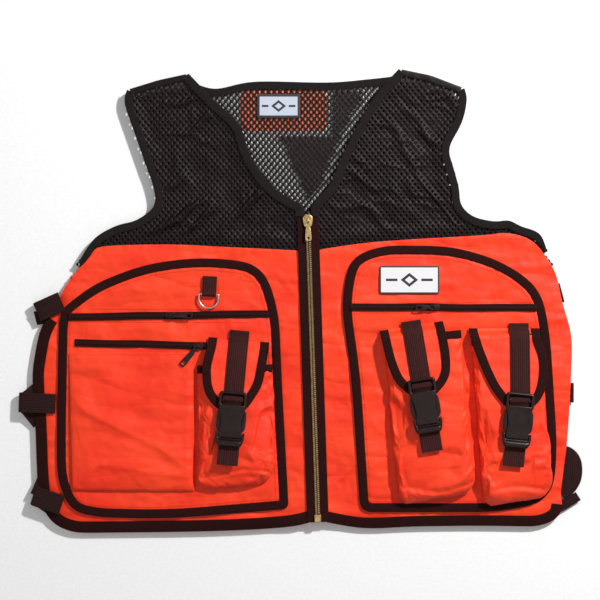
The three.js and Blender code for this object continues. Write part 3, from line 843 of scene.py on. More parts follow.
def set_stage():
    low, high = np.array(CAD_BOX[0]), np.array(CAD_BOX[1])
    middle = (low + high) / 2
    camera = bpy.data.cameras.new("camera")
    camera.lens = 100
    camera.sensor_width = 36
    distance = VIEW_WIDTH * camera.lens / camera.sensor_width
    top = 0.014  # the fronts' level, which fills the picture's width
    place = (middle[0] - 0.0003, middle[1] - 0.0012, distance + top)
    bpy.context.scene.camera = add_object("camera", camera, place)

    world = bpy.data.worlds.new("studio")
    bpy.context.scene.world = world
    world.use_nodes = True
    sky = world.node_tree.nodes["Background"].inputs
    sky["Color"].default_value = (1, 1, 1, 1)
    sky["Strength"].default_value = 0.25
    for name, (place, size, power) in LIGHTS.items():
        light = bpy.data.lights.new(name, "AREA")
        light.size = size
        light.energy = power
        lamp = add_object(name, light, place)
        lamp.rotation_euler = (-Vector(place)).to_track_quat("-Z", "Y").to_euler()

    finish = Shader("floor", None, rgb(246, 246, 246), 0.8)
    grain = finish.noise(finish.place(), 300, 3)
    finish.link(finish.ramp(grain, (0.4, rgb(244, 244, 244)), (0.6, rgb(248, 248, 248))), "Base Color")
    ways = ((-1, -1), (1, -1), (1, 1), (-1, 1))
    points = [(x * FLOOR_REACH, y * FLOOR_REACH, FLOOR_LEVEL) for x, y in ways]
    mesh_object("floor", points, [[0, 1, 2, 3]], finish.material, body=None, smooth_angle=0)
    bpy.context.scene.view_settings.view_transform = "Standard"


set_stage()


# ------------------------------------------------------------------ net
HOLE_PITCH = 7.2  # across
ROW_PITCH = 4.35
YOKE_HOLE = (1.0, 1.85)  # half width and half height of a hole
BACK_HOLE = (1.42, 2.5)


def holes(hole):
    """The share of a net that is open."""
    return math.pi * hole[0] * hole[1] / (HOLE_PITCH * ROW_PITCH)


def cut_cloth(loop, open_share=0.0, spare=1.02):
    """Works out the area of a sheet cut along the loop, in millimetres, with a little spare for its wrinkles;
    nothing uses it.
    """
    area = abs(area_of(loop)) * MM ** 2 * spare * (1 - open_share)


def between_rings(outer, inner, outer_at, inner_at, flip):
    """Triangles between two rings about the origin, walked by angle, whose vertices start at the numbers."""
    a, b = ([math.atan2(-x, y) % TAU for x, y in ring] for ring in (outer, inner))
    n, m = len(outer), len(inner)
    triangles = []
    i = j = 0
    while i < n or j < m:
        next_a = a[(i + 1) % n] + (TAU if i + 1 >= n else 0)
        next_b = b[(j + 1) % m] + (TAU if j + 1 >= m else 0)
        if j >= m or (i < n and next_a <= next_b):
            tri = [outer_at + i % n, outer_at + (i + 1) % n, inner_at + j % m]
            i += 1
        else:
            tri = [outer_at + i % n, inner_at + (j + 1) % m, inner_at + j % m]
            j += 1
        triangles.append(tri[::-1] if flip else tri)
    return triangles


def net_cell(hole, thick, sides=8):
    """One six-sided cell with a long hole in it and rounded strands, as vertices and faces."""
    hx, tall, short = HOLE_PITCH / 2, ROW_PITCH * 0.72, ROW_PITCH * 0.28
    outline = np.array([(0, tall), (-hx, short), (-hx, -short), (0, -tall), (hx, -short), (hx, short)])
    turns = [TAU * k / sides for k in range(sides)]
    rim = np.array([(-hole[0] * math.sin(t), hole[1] * math.cos(t)) for t in turns])
    wide = rim * 1.18
    rings = [(outline, 0.0), (wide, 0.0), (rim, -thick / 2), (wide, -thick), (outline, -thick)]
    starts = np.concatenate([[0], np.cumsum([len(ring) for ring, _ in rings])])
    faces = between_rings(outline, wide, starts[0], starts[1], False)
    faces += between_rings(outline, wide, starts[4], starts[3], True)
    for k in range(sides):
        n = (k + 1) % sides
        for upper, lower in ((starts[1], starts[2]), (starts[2], starts[3])):
            faces.append([upper + k, upper + n, lower + n, lower + k])
    return np.vstack([np.column_stack([ring, np.full(len(ring), level)]) for ring, level in rings]), faces


def net(name, area, height, stands_for=None, thick=0.7, hole=BACK_HOLE, under=None, start=(0.0, 0.0)):
    """Knitted net over an area: a staggered lattice of cells, which runs on over the panel under it."""
    low, high = area.min(axis=0), area.max(axis=0)
    columns = np.arange(math.floor(low[0] / HOLE_PITCH) - 1, math.ceil(high[0] / HOLE_PITCH) + 2)
    rows = np.arange(math.floor(low[1] / ROW_PITCH) - 1, math.ceil(high[1] / ROW_PITCH) + 2)
    cx, cy = np.meshgrid(columns * HOLE_PITCH, rows * ROW_PITCH)
    cx[1::2] += HOLE_PITCH / 2
    cx, cy = cx.ravel() + start[0], cy.ravel() + start[1]
    near = to_edge(cx, cy, area)[0]
    within = inside(cx, cy, [area])
    keep = within & (near > 2.2)
    if under is not None:
        seam = to_edge(cx, cy, under)[0]
        keep |= inside(cx, cy, [under]) & (near < 8) & (seam > 0)
        keep |= within & (seam < 6) & (near > 0.2)
    cx, cy = cx[keep], cy[keep]
    cell, pattern = net_cell(hole, thick)
    x = (cx[:, None] + cell[None, :, 0]).ravel()
    y = (cy[:, None] + cell[None, :, 1]).ravel()
    x = x + 0.5 * noise(x, y, 22, 5)
    y = y + 0.5 * noise(x, y, 22, 6)
    z = height(x, y) + np.tile(cell[:, 2], len(cx))
    faces = [[k * len(cell) + i for i in face] for k in range(len(cx)) for face in pattern]
    points = np.column_stack([x, y, z])
    made = mesh_object(name, points, faces, net_yarn, smooth_angle=0, stands_for=stands_for)
    weld(made)
    return made


def weld(obj, distance=0.00012):
    bm = bmesh.new()
    bm.from_mesh(obj.data)
    bmesh.ops.remove_doubles(bm, verts=bm.verts, dist=distance)
    bm.to_mesh(obj.data)
    bm.free()
    obj.data.update()


def tops(side):
    """The cloth under a binding at the neck or armhole: the net's level, and lower where nylon covers it."""
    front = front_loops[side]

    def level(x, y):
        covered = np.where(inside(x, y, [front]), 1, np.clip(1 - to_edge(x, y, front)[0] / 1.5, 0, 1))
        return NET_Z + 0.9 - 3.8 * covered

    return level


def ordered(run, sign):
    """The run turned so that the cloth lies to its left: down the side that sign names."""
    downward = run[0, 1] > run[-1, 1]
    return run if downward == (sign < 0) else run[::-1]


def make_nets():
    for side, loop in yoke_loops.items():
        def height(x, y, front=front_loops[side], rim=loop, lean=-0.75 * SIDES[side]):
            near = np.where(inside(x, y, [front]), 0, to_edge(x, y, front)[0])
            free = np.clip(near / 16, 0, 1)
            calm = np.clip((to_edge(x, y, rim)[0] - 8) / 14, 0, 1)
            wave = 1.6 * noise(x, y, 60, 41) + 1.0 * noise(x, y, 24, 42)
            wave += 4.2 * (creases(x, y, 44, 43, lean, 2.8) - 0.3)
            wave += 1.6 * (creases(x, y, 22, 46, lean + 0.5) - 0.3)
            return NET_Z - 1.8 * (1 - free) + np.clip(wave, -3.2, 3.6) * free * calm

        made = net(f"{side}_net", loop, height, f"{side}_net_yoke", hole=YOKE_HOLE, under=front_loops[side])
        cut_cloth(loop, open_share=holes(YOKE_HOLE))
        # The net is doubled over at the shoulder, where the front hangs from the back.
        tip, shoulder = corner_of(loop, (0, 1)), corner_of(loop, (SIDES[side], 1))
        fold = evenly(run_between(loop, tip, shoulder), 3)
        edge_tape(f"{side}_shoulder_fold", ordered(fold[1:-1], SIDES[side]), 7.5, tops(side), 0.2, net_cloth,
                  thick=1.5, wrap=5.5, gather=0.5)

    top = corners("back_net_panel")[1][2]

    def back_height(x, y):
        wave = 0.5 * noise(x, y, 80, 44) + 0.3 * noise(x, y, 30, 45)
        return top - 0.5 + np.clip(wave, -0.7, 0.5)

    made = net("back_net", back_net_loop, back_height, "back_net_panel", under=back_loop, thick=0.6)
    cut_cloth(back_net_loop, open_share=holes(BACK_HOLE))
    # A second layer of net is seamed in behind the middle of the neck.
    facing = [(-28, 205), (8, 121), (30, 148), (52, 205), (84, 262), (38, 262), (38, 206)]
    facing = evenly(np.array(facing, float), 6, True)
    net("back_net_facing", facing, lambda x, y: back_height(x, y) + 0.85, thick=0.5,
        start=(1.5, 1.9))


# ------------------------------------------------------------------ nylon panels
def make_back():
    height = over(BACK, nylon_relief(11, back_loop), -0.9, 0.7, drooping=False)
    made = slab("back_lower", [back_loop], height, 0.7, nylon, step=4.5, stands_for="back_lower_panel")
    cut_cloth(back_loop)
    top = corners("back_tag_patch")[1][2] - 0.1
    loop = softened(evenly(top_outline("back_tag_patch")[0], 4, True), 1, True)
    # The patch's nylon is painted paler: painted light in place of the shade the net casts on it.
    made = slab("tag_patch", [loop], lambda x, y: top + 0.25 * noise(x, y, 18, 12), 0.6, patch_nylon_painted_lit, step=3,
                stands_for="back_tag_patch")
    cut_cloth(loop)
    woven_label("neck_label", "size_label", "back_net_panel", (rgb(188, 196, 210), rgb(36, 34, 42), 3.2),
                (0.1, 0.3, 13), 0.5)


def woven_label(name, node, rests_on, look, relief, thick, **options):
    """A woven label. relief is how far its level is below the CAD top, and its waves' height and seed."""
    low, high = corners(node)
    sunk, wave, seed = relief
    loop = top_outline(node)[0]
    made = slab(name, [loop], lambda x, y: high[2] - sunk + wave * noise(x, y, 30, seed), thick,
                make_label(f"{node}_weave", low, high, *look), step=2.5, stands_for=node, **options)
    cut_cloth(loop)


def make_fronts():
    for side, sign in SIDES.items():
        edge = softened(evenly(front_loops[side], 5, True), 1, True)
        relief = nylon_relief(20 + sign, edge, pucker=0.8, broad=0.6, crease=1.5, angle=0.5 * sign)
        made = slab(f"{side}_front", [edge], over(FRONT, relief, -0.9, 1.1), 0.6, nylon, step=3.2,
                    stands_for=f"{side}_front_panel")
        cut_cloth(edge)
        panel = softened(evenly(top_outline(f"{side}_pocket_panel")[0], 4, True), 1, True)
        relief = nylon_relief(30 + sign, panel, pucker=0.8, broad=0.5, crease=1.4, angle=-0.4 * sign)
        height = over(POCKET, relief, -0.9, 0.9, False)
        made = slab(f"{side}_pocket_cloth", [panel], height, 0.6, nylon, step=3,
                    stands_for=f"{side}_pocket_panel")
        cut_cloth(panel)


# ------------------------------------------------------------------ bindings
EDGE_WIDTH = {"left": 14, "right": 13}
EDGE_START = {"left": 4, "right": 0}  # on the left it runs on under the top strap


def flat(z):
    return lambda x, y: np.full(np.shape(x), float(z))


def make_bindings():
    neck = {}
    for side, sign in SIDES.items():
        outer = top_outline(f"{side}_pocket_binding")[0]
        edge_tape(f"{side}_pocket_edge", outer, 9.8, flat(POCKET - 0.3), 0.5, tape, closed=True, gather=0.12,
                  stands_for=f"{side}_pocket_binding")

        run = outer_edges[side]
        run = run[run[:, 1] < corners(f"{side}_edge_binding")[1][1] + EDGE_START[side]][:-1]
        edge_tape(f"{side}_edge_tape", ordered(run, sign), EDGE_WIDTH[side],
                  lambda x, y: FRONT + droop(x, y), 0.6, tape, wrap=1.6, gather=0.2,
                  stands_for=f"{side}_edge_binding")

        yoke = yoke_loops[side]
        shoulder = corner_of(yoke, (sign, 1))
        seam = corner_of(yoke, (sign, -0.5))
        run = run_between(yoke, shoulder, seam)
        run = run[run[:, 1] > yoke[seam][1] + 6]
        edge_tape(f"{side}_armhole_tape", ordered(run, sign), 9, tops(side), 0.3, net_tape, wrap=1.4,
                  gather=0.2, stands_for=f"{side}_armhole_binding")

        run = run_between(yoke, corner_of(yoke, (0, 1)), corner_of(yoke, (-sign, 0.3)))
        neck[side] = np.vstack([run, run[-1] + [[0, -6], [0, -12]]])  # on down to the top of the zipper
    for side, sign in SIDES.items():
        edge_tape(f"{side}_neck_tape", ordered(neck[side], -sign), 10, tops(side), 0.4, net_tape, wrap=1.4,
                  gather=0.15, stands_for="neck_binding" if side == "left" else None)
    start, end = (nearest(back_net_loop, neck[side][0]) for side in SIDES)
    run = run_between(back_net_loop, start, end)
    level = corners("back_net_panel")[1][2] - 0.3
    edge_tape("back_neck_tape", run[::-1], 9, flat(level), 0.3, net_tape, wrap=1.2)


make_nets()
make_back()
make_fronts()
make_bindings()


# ------------------------------------------------------------------ outlines drawn with few points
def rounded(points, radius, steps=5):
    """A closed outline whose corners are turned with that radius, or with one radius for each corner."""
    points = np.asarray(points, float)
    count = len(points)
    radii = [radius] * count if np.isscalar(radius) else radius
    result = []
    for i, here in enumerate(points):
        before, after = points[i - 1] - here, points[(i + 1) % count] - here
        cut = min(radii[i], np.linalg.norm(before) / 2.1, np.linalg.norm(after) / 2.1)
        a = here + before / np.linalg.norm(before) * cut
        b = here + after / np.linalg.norm(after) * cut
        for k in range(steps + 1):
            t = k / steps
            result.append((1 - t) ** 2 * a + 2 * t * (1 - t) * here + t * t * b)
    return np.array(result)


def mirrored(points):
    """A half outline, given from top to bottom at positive x, with its mirror image added."""
    points = np.asarray(points, float)
    return np.vstack([points, (points * [-1, 1])[::-1]])


def four_sided(half, start, end, radius, end_half=None):
    """A rounded outline about the Y axis, half wide at start and end_half wide at end."""
    last = half if end_half is None else end_half
    return rounded([(-half, start), (half, start), (last, end), (-last, end)], radius)


def circle(x, y, radius, count=20):
    turns = [TAU * k / count for k in range(count)]
    return np.array([(x + radius * math.cos(t), y + radius * math.sin(t)) for t in turns])


def crowned(z, lift, half_x, half_y, cx=0.0, cy=0.0):
    """A top that rises by lift at its middle."""

    def height(x, y):
        u = np.clip(np.abs((x - cx) / half_x), 0, 1)
        v = np.clip(np.abs((y - cy) / half_y), 0, 1)
        return z + lift * (1 - u * u) * (1 - v * v)

    return height


def joint(name):
    """The axis of a joint."""
    found = next(j for j in frame["joints"] if j["name"] == name)
    return np.array(found["axis"], float)


def local_frame(node, up_axis, anchor):
    """The frame of a CAD piece that lies along up_axis. anchor picks its low (-1), mid (0) or high (1) side."""
    y = up_axis / np.linalg.norm(up_axis)
    x = np.cross(y, [0, 0, 1])
    x /= np.linalg.norm(x)
    z = np.cross(x, y)
    basis = np.stack([x, y, z])
    local = cad_mesh(node)[0] @ basis.T
    low, high = local.min(axis=0), local.max(axis=0)
    pick = (low + high) / 2 + np.array(anchor) * (high - low) / 2
    return Frame(pick @ basis, x, y, z), local - pick


# ------------------------------------------------------------------ zippers
def pull_tab(name, at, length, width, material, body, node):
    """A pull that lies along -Y of its frame, whose origin is the pivot, with a slot or hole near its end."""
    half, thick = width / 2, 1.1
    outline = rounded(mirrored([(1.4, 0.75), (3.0, 0.2), (3.0, -5.0), (1.7, -7.4), (half * 0.8, -10.5),
                                (half, -length + 4), (half * 0.86, -length)])[::-1], 1.6)
    window = four_sided(1.6, -0.75, -5.1, 0.8)
    end = four_sided(1.9, -length + 2.0, -length + 7.2, 1.2)
    if body == "main_pull":
        end = circle(0, -length + 3.6, 1.6)
    top = crowned(thick / 2, 0.15, half, length / 2, cy=-length * 0.6)
    slab(name, [outline, window, end], top, thick, material,
         radius=0.4, step=1.2, at=at, body=body, stands_for=node)


def bridge_loop(name, at, low, high, material, body):
    """The little arch that holds a pull."""
    reach, points = 2.5, 12
    turns = [math.pi * k / points for k in range(points + 1)]
    path = [(0, reach * math.cos(t), low + (high - low) * math.sin(t) ** 0.6) for t in turns]
    section = [(0.75 * math.cos(TAU * k / 10), 0.5 * math.sin(TAU * k / 10)) for k in range(10)][::-1]
    swept(name, path, (1, 0, 0), section, material, at=at, body=body)


def make_pull(stem, node, bridge, pull_up, base, arch, material, tab):
    """A slider's bridge, an arch from low to high over the base, and its pull: tab is its length and width."""
    pivot = local_frame(node, pull_up, (0, 1, 0))[0].moved(y=-0.6)
    bridge_loop(bridge, Frame([*pivot.origin[:2], base], *pivot.basis), *arch, material, f"{stem}_slider")
    pull_tab(f"{stem}_zip_pull", pivot, *tab, material, f"{stem}_pull", node)


def make_main_zipper():
    axis = -joint("main_zip_travel")
    foot = local_frame("zipper_box", axis, (0, 1, -1))[0]
    half_low, half_high = corners("left_zipper_half")
    line = Frame([*foot.origin[:2], half_low[2]], foot.basis[0], axis, [0, 0, 1])
    tape_length = half_high[1] - half_low[1]
    pitch = 2.5
    tooth = hull([(x, y * w, z * h) for x, w, h in ((-1.42, 0.36, 1.0), (-0.9, 0.62, 1.35), (0.9, 0.5, 1.35),
                                                  (1.35, 0.34, 1.0)) for y in (-1, 1) for z in (-1, 1)])
    for side, sign in SIDES.items():
        # The tape is folded with the front's facing: a wide flat run with a raised edge beside the teeth.
        path = [(sign * 7.2, y, 1.0 + 0.12 * math.sin(y / 9 + sign))
                for y in np.arange(-9.5, tape_length - 16, 3)]
        swept(f"{side}_zip_tape", path, (1, 0, 0), tape_section(12.6, 1.1, 9, 0.12), tape, at=line,
              stands_for=f"{side}_zipper_half")
        stations = np.arange(1.2 + (pitch / 2 if sign > 0 else 0), tape_length - 18, pitch)
        across, along, up = line.basis
        places = [(line.out([sign * 1.72, y, 2.0]), across * sign, along * sign, up) for y in stations]
        scattered(f"{side}_zip_teeth", tooth, places, brass, smooth_angle=30)
        scattered(f"{side}_zip_top_stop", bevelled_box(3.0, 4.4, 3.4, 0.5),
                  [(line.out([sign * 1.9, tape_length - 16.5, 2.0]), *line.basis)], brass)
    slab("zip_foot_box", [four_sided(4.3, 0.2, -9.6, 1.3)], crowned(3.0, 0.3, 4.3, 6, cy=-4.7), 2.9, brass,
         radius=0.7, step=1.5, at=foot, stands_for="zipper_box")
    slab("zip_foot_pin", [four_sided(0.9, -1, -8, 0.6)], flat(3.6), 0.8, brass, radius=0.35, step=1.2,
         at=foot)

    slider = local_frame("zipper_slider", axis, (0, 0, 1))[0]
    slider = slider.moved(z=half_high[2] - slider.origin[2])
    part = partial(slab, material=brass, at=slider, body="main_slider")
    shield = rounded(mirrored([(3.2, 7.4), (6.1, 4.6), (6.0, 0), (4.7, -7.6)])[::-1], 2.2)
    part("slider_top_plate", [shield], crowned(1.6, 0.35, 6.1, 8), 1.25, radius=0.55, step=1.4,
         stands_for="zipper_slider")
    part("slider_low_plate", [four_sided(4.1, 6.6, -7, 1.5, 3.6)], flat(-3.9), 1.2, radius=0.5, step=1.6)
    part("slider_post", [four_sided(0.25, 3, 6, 0.2)], flat(0.6), 5.0, radius=0.1, step=1.5)
    for side, sign in SIDES.items():
        wall = rounded([(sign * 4.6, 5.5), (sign * 5.7, 4.6), (sign * 4.5, -6.6), (sign * 3.9, -6.6)], 0.4)
        part(f"slider_flange_{side}", [wall], flat(0.9), 2.4, radius=0.25, step=1.6)
    make_pull("main", "zipper_pull", "slider_bridge", axis, slider.origin[2], (1.5, 5.0), brass, (25, 8))


def make_coil_zipper(name, length, width):
    """A closed coil zipper on its tape, with its slider and a pull of that length and width."""
    along = joint(f"{name}_zip_travel")
    line, local = local_frame(f"{name}_zipper", along, (0, -1, -1))
    run = local[:, 1].max()
    path = [(0.5 * math.sin(y / 19) * math.sin(math.pi * y / run), y, 0.5 + 0.1 * math.sin(y / 7))
            for y in np.arange(0.5, run, 3)]
    swept(f"{name}_zip_tape", path, (1, 0, 0), tape_section(9.2, 0.8, 6, 0.1), tape, at=line,
          stands_for=f"{name}_zipper")
    places = [(line.out([0, y, 1.35]), *line.basis) for y in np.arange(4, run - 4, 1.15)]
    scattered(f"{name}_zip_coil", capsule(3.5, 0.95, 0.75), places, black_thread)
    for end, y in (("start", 3.2), ("end", run - 3.2)):
        places = [(line.out([0, y + d, 1.2]), *line.basis) for d in (-0.8, 0, 0.8)]
        scattered(f"{name}_zip_{end}_tack", capsule(6.5, 0.8, 0.9), places, black_thread)

    base = corners(f"{name}_zipper")[1][2]
    slider = local_frame(f"{name}_zipper_slider", along, (0, 0, -1))[0]
    slider = Frame([*slider.origin[:2], base], *slider.basis)
    part = partial(slab, material=black_metal, at=slider, body=f"{name}_slider")
    shield = rounded(mirrored([(2.4, 6.2), (3.7, 4.2), (3.4, -2), (2.6, -6.2)])[::-1], 1.6)
    part(f"{name}_slider_plate", [shield], crowned(1.35, 0.3, 3.7, 6.4), 1.0, radius=0.45, step=1.2,
         stands_for=f"{name}_zipper_slider")
    for sign, word in ((-1, "near"), (1, "far")):
        wall = rounded([(sign * 1.95, 5), (sign * 2.95, 5), (sign * 2.7, -5), (sign * 1.95, -5)], 0.3)
        part(f"{name}_slider_flange_{word}", [wall], flat(0.7), 1.75, radius=0.2, step=1.5)
    pull_up = np.cross(joint(f"{name}_pull_swing"), [0, 0, 1])  # the pull points the other way
    make_pull(name, f"{name}_zipper_pull", f"{name}_slider_bridge", pull_up, base, (1.2, 4.5), black_metal,
              (length, width))


def make_zippers():
    make_main_zipper()
    for name, length, width in (("left_chest", 28, 7), ("right_chest", 24, 7), ("cargo", 33, 8)):
        make_coil_zipper(name, length, width)


# ------------------------------------------------------------------ ring and badge
def make_ring():
    wire = 1.25
    up = np.cross(joint("d_ring_swing"), [0, 0, 1])
    ring, local = local_frame("d_ring", up, (0, 1, 0))
    half = local[:, 0].max() - wire
    path = [(x, 0, 0) for x in np.linspace(-half, half, 10)]
    path += [(half, y, 0) for y in (-1.5, -3.2)]
    path += [(half * math.cos(t), -5 - half * math.sin(t), 0) for t in np.linspace(0, math.pi, 20)]
    path += [(-half, y, 0) for y in (-3.2, -1.5)]
    ring_sweep("d_ring_wire", path, wire, nickel, at=ring.moved(y=-1.3), body="ring", stands_for="d_ring")
    tab, local = local_frame("d_ring_tab", up, (0, -1, -1))
    top = local[:, 1].max()
    turns = [math.radians(-115 + 230 * k / 14) for k in range(15)]
    loop = [(0, 3.3 - 2.35 * math.cos(t), 3.1 + 2.35 * math.sin(t)) for t in turns]
    path = [(0, top, 0.9), (0, top - 8, 0.8), (0, 8, 0.8), *loop, (0, 7.0, 2.6), (0, 10, 2.3),
            (0, top - 4, 2.3), (0, top, 2.2)]
    path = evenly(softened(evenly(np.array(path), 1.0), 2), 1.0)
    section = tape_section(17.5, 1.2, 8, 0.16)
    swept("d_ring_web", path, (1, 0, 0), section, webbing, at=tab, stands_for="d_ring_tab")


def ring_sweep(name, path, radius, material, sides=12, **options):
    """A round wire along a closed path."""
    path = evenly(np.asarray(path, float), 1.0, True)
    along = np.roll(path, -1, axis=0) - np.roll(path, 1, axis=0)
    along /= np.linalg.norm(along, axis=1, keepdims=True)
    across = np.cross(along, [0, 0, 1])
    up = np.cross(across, along)
    round_it = [(math.cos(TAU * k / sides), math.sin(TAU * k / sides)) for k in range(sides)]
    points = [p + radius * (a * c + u * s) for p, a, u in zip(path, across, up) for c, s in round_it]
    return mesh_object(name, points, grid_faces(len(path), sides, False, True), material, **options)


def make_badge():
    woven_label("badge_patch", "badge", "right_pocket_panel", (rgb(226, 224, 226), rgb(40, 34, 36), 2.0),
                (0.2, 0.15, 14), 1.0, radius=0.45)


# ------------------------------------------------------------------ cargo pocket
def pleat(points, width, rise, steep=0.4):
    """A soft fold along a line: gentle on its left, sharp on its right, and fading at its ends."""
    line = evenly(softened(evenly(np.array(points, float), 4), 3), 3)

    def height(x, y):
        near, along = to_edge(x, y, line, closed=False)
        index = np.clip((along / 3).astype(int), 0, len(line) - 2)
        ahead = line[index + 1] - line[index]
        side = np.sign(ahead[:, 0] * (y - line[index, 1]) - ahead[:, 1] * (x - line[index, 0]))
        reach = np.where(side > 0, width, width * steep)
        ends = np.clip(np.minimum(along, 3 * len(line) - along) / 26, 0, 1)
        return rise * np.exp(-(near / reach) ** 1.5) * ends

    return height


def make_cargo():
    low, high = corners("cargo_pocket")
    level = corners("left_pocket_panel")[1][2]
    left, right, top, bottom = low[0] - 1, high[0] + 6, high[1], low[1]
    loop = rounded([(left + 5, bottom + 2), (right, bottom), (right - 2, top), (left, top)], [7, 3, 3, 3])

    def at(across, down):
        return left + (right - left) * across, top + (bottom - top) * down

    folds = [
        pleat([at(0.02, 0.30), at(0.12, 0.42), at(0.45, 0.57), at(0.70, 0.67), at(0.98, 0.86)], 13, 2.6),
        pleat([at(0.40, 0.40), at(0.55, 0.44), at(0.86, 0.64)], 15, -1.7, 0.7),
        pleat([at(0.10, 0.96), at(0.22, 0.80), at(0.52, 0.84), at(1.0, 0.90)], 10, 2.4),
        pleat([at(0.44, 0.87), at(0.60, 0.83), at(0.76, 0.87)], 4, -1.3, 0.6),
        pleat([at(0.50, 0.86), at(0.62, 1.02)], 7, 1.7),
        pleat([at(0.0, 0.42), at(0.06, 0.58), at(0.09, 0.72)], 2.2, -1.1, 0.8),
        pleat([at(0.12, 0.16), at(0.38, 0.22), at(0.52, 0.32)], 15, 1.2),
    ]

    def height(x, y):
        near, along = to_edge(x, y, loop)
        sewn = np.clip(np.minimum(x - left, y - bottom) / 30, 0, 1)
        hanging = np.clip((right - x) / 9, 0, 1)
        under_zip = np.clip((top - y) / 60, 0, 1)
        swell = 6.2 * np.sqrt(np.clip(1 - (1 - sewn) ** 2, 0, 1)) * np.sqrt(hanging)
        swell = swell * (0.25 + 0.75 * under_zip)
        rest = np.clip(near / 9, 0, 1)
        wave = sum(fold(x, y) for fold in folds) + 0.6 * noise(x, y, 50, 65)
        wave = wave + 0.5 * (creases(x, y, 30, 61, 0.7) - 0.2)
        pucker = 0.5 * noise(along, near * 0.3, 8, 66) * np.exp(-near / 8)
        return np.maximum(level + 0.9 + swell + wave * rest + pucker, level + 0.75)

    made = slab("cargo_bag", [loop], height, 0.8, nylon, step=2.4, stands_for="cargo_pocket")
    cut_cloth(loop, spare=1.08)
    rows = {
        "hem": [(left + 8, bottom + 4.6), (right - 3, bottom + 3)],
        "side": [(left + 7, bottom + 8), (left + 3, top - 2)],
        "top": [(left + 4, top - 2.6), (right - 5, top - 2.6)],
    }
    for word, row in rows.items():
        stitches(f"cargo_{word}_seam", row, lambda x, y: height(x, y) + 0.05, orange_thread, pitch=3.0,
                 length=2.1)


def seam_rows():
    """Stitching through the panels: beside each pocket's binding and along its zipper."""
    level = flat(POCKET + 0.85)
    for side in SIDES:
        line = softened(evenly(top_outline(f"{side}_pocket_panel")[0], 4, True), 1, True)
        if area_of(line) < 0:
            line = line[::-1]
        inner = moved_aside(line, left_of(line, True), 3.4, True)
        stitches(f"{side}_pocket_seam", inner, level, orange_thread, closed=True, pitch=3.4)
        low, high = corners(f"{side}_chest_zipper")
        tilt = -2.0 if side == "right" else 1.5
        for word, y in (("over", high[1] + 2.0), ("under", low[1] - 2.0)):
            row = [(low[0] + 8, y + tilt / 2), (high[0] - 8, y - tilt / 2)]
            stitches(f"{side}_zip_seam_{word}", row, level, orange_thread, pitch=3.2)


# ------------------------------------------------------------------ pouches
BAG_ROWS = 66
BAG_COLUMNS = 72
BELLY = 38  # the deepest place of a bag, above its bottom
CAP = 4.5  # how far the cloth simulation may move a point
CLOTH = {
    "quality": 6, "mass": 0.15, "tension_stiffness": 25, "compression_stiffness": 25,
    "bending_stiffness": 0.6, "shrink_min": -0.028, "use_pressure": True, "uniform_pressure_force": 1.4,
    "vertex_group_mass": "sewn",
}


def stitches(name, path, height, thread, pitch=3.3, length=2.3, closed=False):
    """A row of stitches along a plane path, on a surface given by height, or along a path of 3-D points."""
    line = evenly(np.asarray(path, float), pitch, closed)
    if line.shape[1] == 2:
        line = np.column_stack([line, height(line[:, 0], line[:, 1])])
    along = np.roll(line, -1, axis=0) - line
    count = len(line) if closed else len(line) - 1
    places = []
    for p, a in zip(line[:count], along[:count]):
        a = a / max(np.linalg.norm(a), 1e-9)
        side = np.cross([0, 0, 1], a)
        side /= np.linalg.norm(side)
        places.append((p + a * pitch / 2, a, side, np.cross(a, side)))
    scattered(name, capsule(length, 0.62, 0.34, 3, 5), places, thread, smooth_angle=80)


def cross_seam(name, at, middle, reach):
    """Black stitches across a strap, from middle to both sides as far as reach."""
    row = [at.out(np.add(middle, np.multiply(reach, k))) for k in (-1, 0, 1)]
    stitches(name, row, None, black_thread, pitch=2.4, length=1.7)


def upright(node):
    """The direction up a boxy bag: the lean at which it is narrowest."""
    points = cad_mesh(node)[0]
    leans = np.radians(np.arange(-14, 14.1, 0.25))
    widths = [np.ptp(points[:, 0] * math.cos(a) + points[:, 1] * math.sin(a)) for a in leans]
    lean = leans[int(np.argmin(widths))]
    return np.array([-math.sin(lean), math.cos(lean), 0])


